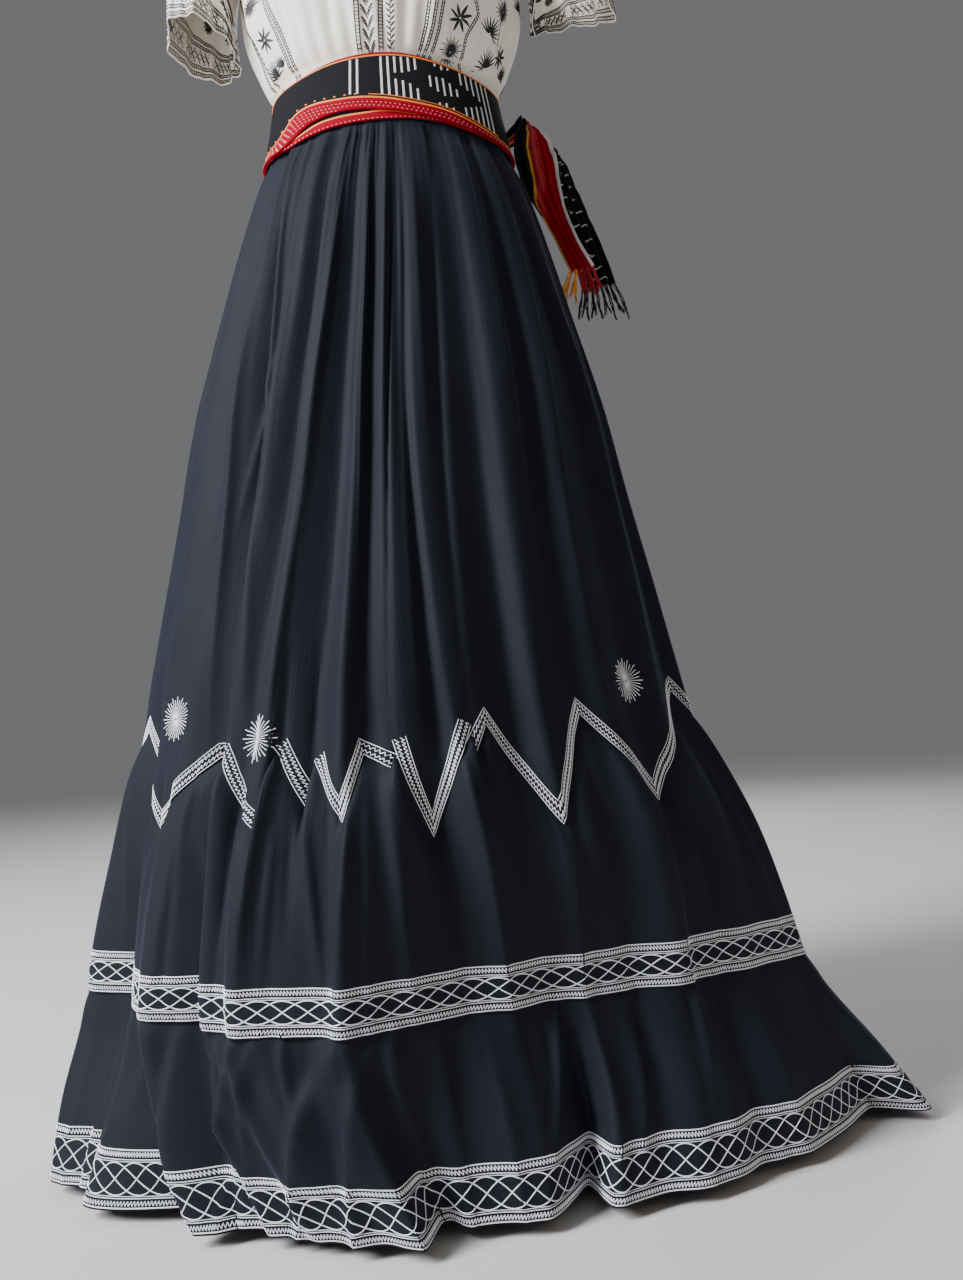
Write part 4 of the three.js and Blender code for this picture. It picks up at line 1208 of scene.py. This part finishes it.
sash_end(
    "sash_front_end",
    FRONT_END,
    [sash_black, yellow_thread, dark_red, sash_red, pale_thread],
    front_colours,
    "sash_end_front",
)
sash_end(
    "sash_back_end",
    BACK_END,
    [sash_black, dark_red, orange_thread],
    back_colours,
    "sash_end_back",
)


def back_strip(arc, drop):
    """The back end, from the place across and along it in mm of flat cloth."""
    return end_point(BACK_END, arc / END_FLAT[0], drop / END_FLAT[1])


dash_rows = np.repeat(np.linspace(4.2, 8.7, 11), 2)
dash_starts = np.tile([12.0, 34.0], 11) + 5 * np.sin(3 * dash_rows)
dash = np.stack(
    [
        dash_starts[:, None] + np.linspace(0, 13, 7),
        np.broadcast_to(dash_rows[:, None] * END_FLAT[1], (22, 7)),
    ],
    axis=-1,
)
back_bars = piece("sash_back_end_bars", *sewn(back_strip, dash, 1.0, 0.5), pale_thread)
worn_as(back_bars, "sash_edge")

# Fringes: the warp threads of the strip's ends, left loose beyond the weave and drawn together
# in locks: yellow and red below the front end, black below the back one.
THREAD_RADIUS = 0.42


def tubes(points, radius):
    """Round threads along the second axis of the points, in mm: rings of four corners."""
    along = np.gradient(points, axis=1)
    along /= np.linalg.norm(along, axis=-1, keepdims=True)
    side = np.cross(along, [0.31, 0.95, 0.05])
    side /= np.linalg.norm(side, axis=-1, keepdims=True)
    other = np.cross(along, side)
    around = [points + radius[..., None] * v for v in (side, other, -side, -other)]
    ring = np.stack(around, axis=2)
    lines, steps = points.shape[:2]
    n, i, j = np.meshgrid(np.arange(lines), np.arange(steps - 1), np.arange(4), indexing="ij")
    start = (n * steps + i) * 4
    quads = [start + j, start + 4 + j, start + 4 + (j + 1) % 4, start + (j + 1) % 4]
    return ring.reshape(-1, 3) * MM, np.stack(quads, axis=-1).reshape(-1, 4)


FRINGES = {
    # strip, first and last share of its width, locks, threads in each, length, drift of the
    # tips in x and y, spread, finish and colours of the thread
    "yellow": (FRONT_END, 0.0, 0.4, 6, 9, 42, (-10, -12), 12, ("#ffb62e", "#d9820c")),
    "red": (FRONT_END, 0.42, 1.0, 8, 9, 33, (5, 0), 9, ("#d3122e", "#7c0716")),
    "black": (BACK_END, 0.0, 1.0, 12, 10, 42, (5, 0), 26, ("#1c1c20", "#0a0a0c")),
}
for name, (rows, first, last, locks, each, long, drift, spread, tones) in FRINGES.items():
    rng = np.random.default_rng(locks)
    lock = np.repeat(np.arange(locks), each)
    place = (lock + 0.5) / locks
    loose = rng.uniform(-1, 1, (len(lock), 3))
    root_share = first + (last - first) * np.clip(place + 0.45 * loose[:, 0] / locks, 0, 1)
    root = end_point(rows, root_share, np.full(len(lock), len(rows) - 1.02))
    middle = end_point(rows, first + (last - first) * place, np.full(len(lock), len(rows) - 1.02))
    reach = long * (0.86 + 0.14 * np.sin(2.4 * lock * 1.7)) * (1 + 0.06 * loose[:, 1])
    tip = middle + np.stack(
        [
            drift[0] + spread * (place - 0.5) + 1.3 * loose[:, 2],
            drift[1] + 0.3 * spread * np.sin(2.4 * lock) + 1.3 * loose[:, 0],
            -reach,
        ],
        axis=-1,
    )
    t = np.linspace(0, 1, 10)[None, :, None]
    bow = np.stack([2.2 * np.sin(2.4 * lock), 1.6 * np.cos(2.4 * lock), 0 * lock], axis=-1)
    line = root[:, None] + (tip - root)[:, None] * t + 4 * t * (1 - t) * bow[:, None]
    twist = 2 * np.pi * (1.3 * t[..., 0] + 0.5 * loose[:, :1])
    curl = np.sin(np.pi * t[..., 0]) * 0.9
    line = line + np.stack([curl * np.cos(twist), curl * np.sin(twist), 0 * twist], axis=-1)
    radius = np.broadcast_to(THREAD_RADIUS * (1 - 0.35 * t[..., 0]), line.shape[:2])
    finish = finish_of(
        f"{name}_fringe_thread", {"Roughness": 0.6}, thread_nodes(*tones, 1.0 * MM)
    )
    fringe = piece(f"fringe_{name}", *tubes(line, radius), finish)
    worn_as(fringe, f"fringe_{name}", f"sash_fringe_{name}")

# Blouse: cream cotton, a front and a back panel sewn at the shoulders and side seams, tucked
# into the sash and bloused over it, with a wide short sleeve set into each armhole.
TORSO = np.array(
    [
        # height, half width, half depth
        [-90, 121, 89],
        [8, 130, 96.2],
        [46, 123.6, 93.4],
        [76, 120.2, 91.8],
        [84, 130, 98.5],
        [108, 142, 106.5],
        [150, 156.5, 114],
        [210, 160, 116],
    ]
)
UNDERARM, YOKE_LONG = 210.0, 170.0
NECK_SHARE, NECK_X, NECK_Z, TIP_X, TIP_Z = 0.52, 100.0, 388.0, 176.0, 352.0
NECKS = {"front": (320.0, 92.0), "back": (376.0, 70.0)}
ACROSS_FLAT = 215.0  # mm of cloth from the middle of a panel to its side seam
BLOUSE_CREASES = np.array(
    [
        # place across the panel, first and last drop (less than 0 above the waist), drift to
        # the viewer's right, half widths to the left and right, height
        [-186, -205, -84, 12, 10, 10, -3.4],
        [-160, -180, -78, 10, 8, 8, 2.8],
        [-134, -212, -92, 8, 10, 10, -3.4],
        [-104, -170, -78, 6, 8, 8, -3.0],
        [-76, -205, -82, 4, 9, 9, 3.0],
        [-48, -180, -78, 2, 7, 7, -3.0],
        [-22, -212, -82, 0, 8, 8, 2.6],
        [6, -170, -78, 0, 7, 7, -2.8],
        [34, -200, -80, -2, 8, 8, -2.6],
        [62, -170, -78, -4, 7, 7, 2.8],
        [90, -208, -84, -6, 9, 9, -3.4],
        [120, -180, -78, -8, 8, 8, -3.0],
        [148, -205, -80, -12, 9, 9, 3.0],
        [180, -185, -80, -14, 10, 10, -3.4],
        [-150, -330, -190, 30, 12, 12, -3.0],
        [-112, -300, -180, 18, 10, 10, 2.4],
        [150, -330, -190, -30, 12, 12, -3.0],
        [112, -300, -180, -18, 10, 10, 2.4],
        [-60, -290, -200, 6, 9, 9, -1.8],
        [64, -290, -200, -6, 9, 9, -1.8],
    ]
)


def torso_point(across, height, puff):
    """Point of the front panel below the arms: on an ellipse of the torso's half axes, drawn in
    by 22 gathers over the sash, which fade upwards and towards the sides."""
    angle = across * np.pi / 2
    near = np.clip((150 - height) / 40, 0, 1) * np.clip((height - 76) / 8, 0, 1)
    dip = 2.4 * near * (np.cos(44 * angle) - 1) / 2 * np.cos(angle) + puff
    wide = curve(TORSO[:, 0], TORSO[:, 1], height) + dip
    deep = curve(TORSO[:, 0], TORSO[:, 2], height) + dip
    return np.stack([wide * np.sin(angle), -deep * np.cos(angle), height + 0 * angle], axis=-1)


def top_point(across, neck_z, neck_y):
    """Upper end of a column: round the neckline near the middle, along the shoulder beyond."""
    far = np.abs(across)
    angle = np.minimum(far / NECK_SHARE, 1) * np.pi / 2
    out = np.clip((far - NECK_SHARE) / (1 - NECK_SHARE), 0, 1)
    x = np.where(far < NECK_SHARE, NECK_X * np.sin(angle), NECK_X + (TIP_X - NECK_X) * out)
    z = NECK_Z + (neck_z - NECK_Z) * np.clip(np.cos(angle), 0, 1) ** 1.5 + (TIP_Z - NECK_Z) * out
    y = np.where(far < NECK_SHARE, -neck_y * np.cos(angle), 0)
    return np.stack([np.sign(across) * x, y, z], axis=-1)


def yoke_point(across, share, neck):
    """Point over the chest or the back: a quadratic from the underarm level to the upper end
    of the column, pulled out to the torso's own depth and to the armhole's."""
    start, end = torso_point(across, UNDERARM + 0 * across, 0), top_point(across, *neck)
    pull = np.maximum(-start[..., 1], 90 * np.abs(across) ** 3)
    over_x = start[..., 0] + (end[..., 0] - start[..., 0]) * 0.4
    over_z = start[..., 2] + (end[..., 2] - start[..., 2]) * 0.72
    over_point = np.stack([over_x, -pull, over_z], axis=-1)
    t = share[..., None]
    return (1 - t) ** 2 * start + 2 * t * (1 - t) * over_point + t**2 * end


def panel_point(half, arc, drop):
    """Point of a blouse panel from the cloth's place across it and its drop, both in mm."""
    arc, drop = np.broadcast_arrays(arc, drop)
    puff = creased(arc, drop, BLOUSE_CREASES)
    side = 1 if half == "front" else -1
    across = np.clip(side * arc / ACROSS_FLAT, -1, 1)
    share = np.clip((-drop - UNDERARM) / YOKE_LONG, 0, 1)
    below = torso_point(across, np.minimum(-drop, UNDERARM), puff)
    above = yoke_point(across, share, NECKS[half])
    above[..., 1] -= puff * (1 - share)
    point = np.where((-drop > UNDERARM)[..., None], above, below)
    seam = np.where(share > 0.98, 0.5, 0.35)
    return np.stack([point[..., 0], side * np.minimum(point[..., 1], -seam), point[..., 2]], axis=-1)


# Plain-woven cotton, undyed and washed soft: matt and cream, with a coarse uneven yarn.
blouse_cotton = finish_of(
    "cream_cotton",
    {"Roughness": 0.82, "Specular IOR Level": 0.3, "Sheen Weight": 0.08},
    cotton_nodes("#f2eadb", "#fdf8ee"),
)
panels = {
    half: lambda arc, drop, half=half: panel_point(half, arc, drop) for half in ("front", "back")
}
WIDE_ROW, LONG_COLUMN = 40, 45  # where a panel's flat width and length are measured
for half, surface in panels.items():
    arcs = np.linspace(-ACROSS_FLAT, ACROSS_FLAT, 201)
    drops = np.concatenate(
        [np.linspace(-UNDERARM - YOKE_LONG, -UNDERARM, 36)[:-1], np.linspace(-UNDERARM, 90, 66)]
    )
    arc_grid, drop_grid = np.meshgrid(arcs, drops)
    points = surface(arc_grid, drop_grid) * MM
    flat_map = np.stack([arc_grid, -drop_grid], axis=-1) * MM
    faces = grid_faces(len(drops), len(arcs))
    panel = piece(f"blouse_{half}_panel", points, faces, blouse_cotton, flat_map)
    thicken(panel, COTTON_THICKNESS)
    worn_as(panel, "blouse_cotton", f"blouse_{half}")
    wide, long = lengths(points[WIDE_ROW])[-1], lengths(points[:, LONG_COLUMN])[-1]
    flat = (float(wide), float(long))

SLEEVES = {
    # side, outer x and z of the hem, inner x and z, half depth, arch of its front and back
    "left": (-1, 243, 150, 168, 137, 63, 8),
    "right": (1, 264, 158, 171, 146, 58, 40),
}
SLEEVE_ROUND, SLEEVE_LONG = 400.0, 210.0  # nominal flat size in mm, from which a place is taken


def sleeve_point(which, arc, drop):
    """Point of a sleeve: a quadratic from the armhole's edge to an oval hem with seven soft
    waves, bowed up and out over the arm. Arc runs round it and drop runs from the armhole."""
    side, outer_x, outer_z, inner_x, inner_z, half_depth, arch = SLEEVES[which]
    arc, drop = np.broadcast_arrays(arc, drop)
    around = (-side * arc / SLEEVE_ROUND) % 1
    angle = 2 * np.pi * around
    front = around <= 0.5
    share = np.abs(1 - 2 * around)
    across = side * np.ones_like(share)
    edge = np.where(
        front[..., None],
        yoke_point(across, share, NECKS["front"]),
        yoke_point(across, share, NECKS["back"]) * [1, -1, 1],
    )
    start = edge + np.stack(
        [side * (1 + 1.3 * np.sin(np.pi * around) ** 2), 0 * share, 0 * share], axis=-1
    )
    wave = 1 + (4 / half_depth) * np.cos(7 * angle) + (1.5 / half_depth) * np.sin(15 * angle + 1)
    middle = np.array([side * (outer_x + inner_x) / 2, 0, (outer_z + inner_z) / 2])
    reach = np.array([side * (outer_x - inner_x) / 2, 0, (outer_z - inner_z) / 2])
    end = middle + reach * (np.cos(angle) * wave)[..., None]
    end[..., 1] -= half_depth * np.sin(angle) * wave
    end[..., 2] += arch * np.abs(np.sin(angle))
    bulge = [side * (22 + 12 * np.cos(angle)), -10 * np.sin(angle), 26 + 24 * np.cos(angle)]
    over_point = start + (end - start) * 0.45 + np.stack(bulge, axis=-1)
    t = (drop / SLEEVE_LONG)[..., None]
    return (1 - t) ** 2 * start + 2 * t * (1 - t) * over_point + t**2 * end


sleeve_surfaces = {
    which: lambda arc, drop, which=which: sleeve_point(which, arc, drop) for which in SLEEVES
}
SLEEVE_COLUMNS, SLEEVE_ROWS = 168, 46
for which, surface in sleeve_surfaces.items():
    arcs = np.linspace(0, SLEEVE_ROUND, SLEEVE_COLUMNS, endpoint=False)
    arc_grid, drop_grid = np.meshgrid(arcs, np.linspace(0, SLEEVE_LONG, SLEEVE_ROWS))
    points = surface(arc_grid, drop_grid) * MM
    flat_map = np.stack([arc_grid, -drop_grid], axis=-1) * MM
    faces = grid_faces(SLEEVE_ROWS, SLEEVE_COLUMNS, True)
    cloth = piece(f"sleeve_{which}", points, faces, blouse_cotton, flat_map)
    thicken(cloth, COTTON_THICKNESS)
    worn_as(cloth, "blouse_cotton", f"blouse_sleeve_{which}")
    closed = np.concatenate([points, points[:, :1]], axis=1)
    flat = (float(lengths(closed[SLEEVE_ROWS // 2])[-1]), float(lengths(points[:, 0])[-1]))

# Blouse embroidery: black mercerised cotton, machine-sewn. Ladder borders part the panels into
# bands of stars, bursts and fans of narrow leaves, with a band of chevrons up the middle. The
# sleeves end in a border of ladders and crossed rows. Places are mm across a panel and of drop.
black_thread = finish_of(
    "black_mercerised_thread",
    {"Roughness": 0.5, "Specular IOR Level": 0.4},
    thread_nodes("#2c2c31", "#0c0c0f", 1.2 * MM),
)
LEAF = np.array([0.5, 1.5, 1.6, 1.2, 0.4])
NEEDLE = np.array([0.9, 0.55, 0.5, 0.42, 0.3])
STITCH = 3.2  # distance between the rungs of a ladder


def spokes(centre, radius, count, first=0.0, last=360.0, uneven=0.0):
    """Lines from a centre, at even angles counted from downwards towards the viewer's right."""
    angles = np.radians(first + (last - first) * (np.arange(count) + 0.5) / count)[:, None]
    reach = radius * (1 - uneven * (np.arange(count) % 2))[:, None] * np.linspace(0.08, 1, 5)
    return np.stack([centre[0] + reach * np.sin(angles), centre[1] + reach * np.cos(angles)], -1)


def resampled(points, step):
    """Points at even steps along a polyline."""
    points = np.asarray(points, float)
    run = lengths(points)
    places = np.linspace(0, run[-1], max(3, int(run[-1] / step) + 1))
    return np.stack([np.interp(places, run, points[:, k]) for k in (0, 1)], axis=-1)


def ladder(points, half_width):
    """Two lines a width apart along a polyline, joined by rungs, as lists of threads."""
    middle = resampled(points, STITCH)
    along = np.gradient(middle, axis=0)
    side = np.stack([along[:, 1], -along[:, 0]], axis=-1)
    side *= half_width / np.linalg.norm(side, axis=-1, keepdims=True)
    rails = np.stack([middle + side, middle - side])
    rungs = np.stack([middle + side, middle - side], axis=1)
    return [(rails, 0.65), (rungs, 0.5)]


def group(shift, mirror):
    """One repeat of the motifs of a side band, as threads with their half widths."""

    def at(x, y):
        return mirror * x, y + shift

    made = [(spokes(at(91, -116), 14.5, 8), LEAF * 1.1), (spokes(at(168, -101), 12, 8), LEAF)]
    for x, y, radius in ((87, -83, 14.5), (146, -140, 12.5)):
        made.append((spokes(at(x, y), radius, 30, uneven=0.25), NEEDLE * 1.2))
    fans = ((134, -112, 18, 70, 250), (146, -82, 18, 120, 300), (190, -86, 14, 90, 270))
    for x, y, radius, first, last in fans:
        turned = (first, last) if mirror > 0 else (-last, -first)
        made.append((spokes(at(x, y), radius, 11, *turned), LEAF * 0.62))
    stem = [at(155, -107), at(150, -122), at(146, -138)]
    branch = [at(105, -138), at(114, -126), at(102, -100), at(103, -88), at(109, -66)]
    made.append((resampled(stem, 3)[None], 0.5))
    return made + ladder(branch, 1.5)


def sprigs(x, top, bottom, lean):
    """A column of short leaves to both sides of a stem."""
    drops = np.arange(top, bottom, 5.5)
    tips = np.linspace(0, 1, 5)[None, :, None] * [[[lean, -4.5]]]
    right = np.stack([np.full_like(drops, x), drops], axis=-1)[:, None] + tips
    left = np.stack([np.full_like(drops, x), drops + 2.7], axis=-1)[:, None] + tips * [-1, 1]
    stem = np.array([[x, top - 3], [x, bottom]])
    return [(np.concatenate([right, left]), LEAF * 0.6), (resampled(stem, 4)[None], 0.5)]


TOP_DROP, SASH_DROP = -372.0, -62.0
REPEATS = (0, -76, -152)
chevron_drops = np.arange(-364.0, -66.0, 11.3)
chevrons = np.stack(
    [
        np.broadcast_to([-14.5, -11.5, -8.5, -5.5, -2.5], (len(chevron_drops), 5)),
        chevron_drops[:, None] + np.array([-5.0, -1.5, 4.5, -1.5, -5.0]),
    ],
    axis=-1,
)


def panel_threads(half):
    """Threads of a whole panel. The front has a different band of motifs on each side, and the
    back carries the front's right band on both sides."""
    made = [(chevrons, 1.0), (chevrons + [0, 3.2], 0.6)]
    made += ladder([(-17, TOP_DROP), (-18, -124), (-22, SASH_DROP)], 2.0)
    made += ladder([(5, TOP_DROP), (5.5, -124), (3, SASH_DROP)], 2.2)
    made += sprigs(15.0, TOP_DROP + 4, SASH_DROP, 4.2)
    sides = (1,) if half == "front" else (1, -1)
    for mirror in sides:
        for x, foot in ((55, 46), (62, 53), (70, 61)):
            path = [(x + 14, TOP_DROP), (x, -150), (x - 2, -102), (foot, SASH_DROP)]
            made += ladder([(mirror * a, b) for a, b in path], 1.3)
        for shift in REPEATS:
            made += group(shift, mirror)
    if half == "front":
        paths = (
            [(-122, -330), (-124, -158), (-117, -122), (-115, -93), (-120, SASH_DROP)],
            [(-116, -330), (-118, -158), (-111, -122), (-109, -93), (-113, SASH_DROP)],
            [(-205, -235), (-183, -165), (-165, -134), (-168, -105), (-180, -66)],
        )
        for path in paths:
            made += ladder(path, 1.4)
        for shift in REPEATS[:2]:
            made.append((spokes((-139, -121 + shift), 13.5, 8), LEAF * 1.1))
            made.append((spokes((-150, -161 + shift), 12.0, 30, uneven=0.25), NEEDLE * 1.2))
            made.append((spokes((-146, -84 + shift), 17.0, 11, 90, 270), LEAF * 0.62))
            made.append((spokes((-128, -88 + shift), 12.0, 9, 110, 250), LEAF * 0.55))
        made += sprigs(-160.0, -128, -66, 4.0)
    return made


def crossed(low, high, step):
    """Two zigzag rows right round a sleeve that cross into a row of diamonds."""
    places = np.linspace(0, SLEEVE_ROUND, int(SLEEVE_ROUND / step) // 2 * 2 + 1)
    swing = np.where(np.arange(len(places)) % 2, low, high)
    other = low + high - swing
    return np.stack([np.stack([places, swing], -1), np.stack([places, other], -1)])


def sleeve_threads():
    """Threads of a sleeve: a border at the hem, and a row of stars and bursts above it."""

    def round_at(drop):
        return [(k, drop) for k in np.linspace(0, SLEEVE_ROUND, 60)]

    made = []
    for drop in (206, 199, 176, 169):
        made += ladder(round_at(drop), 1.6)
    made += [(crossed(180, 195, 9.5), 0.9), (crossed(184, 191, 9.5), 0.6)]
    for k in range(8):
        centre = (SLEEVE_ROUND * (k + 0.4) / 8, 145 - 6 * (k % 2))
        motif = spokes(centre, 12, 8) if k % 2 else spokes(centre, 11, 26, uneven=0.25)
        made.append((motif, LEAF if k % 2 else NEEDLE))
        fan = (centre[0] + 22, 132)
        made.append((spokes(fan, 20, 9, 130, 230), LEAF * 0.8))
    for drop in (98, 91):
        made += ladder(round_at(drop), 1.4)
    return made


def black_work(name, surface, made, both_sides=False):
    """A piece of embroidery from threads on a surface, seen on its inner side too if so told."""
    parts = []
    for flat, half_width in made:
        points, normals = laid_on(surface, flat[..., 0], flat[..., 1])
        parts.append(threads(points, normals, half_width, 0.4))
        if both_sides:
            parts.append(threads(points[:, ::-1], -normals[:, ::-1], half_width, 0.3))
    work = piece(name, *joined(parts), black_thread)
    worn_as(work, "embroidery_black")


for half, surface in panels.items():
    black_work(f"blouse_{half}_embroidery", surface, panel_threads(half))
for which, surface in sleeve_surfaces.items():
    black_work(f"sleeve_{which}_embroidery", surface, sleeve_threads(), both_sides=True)
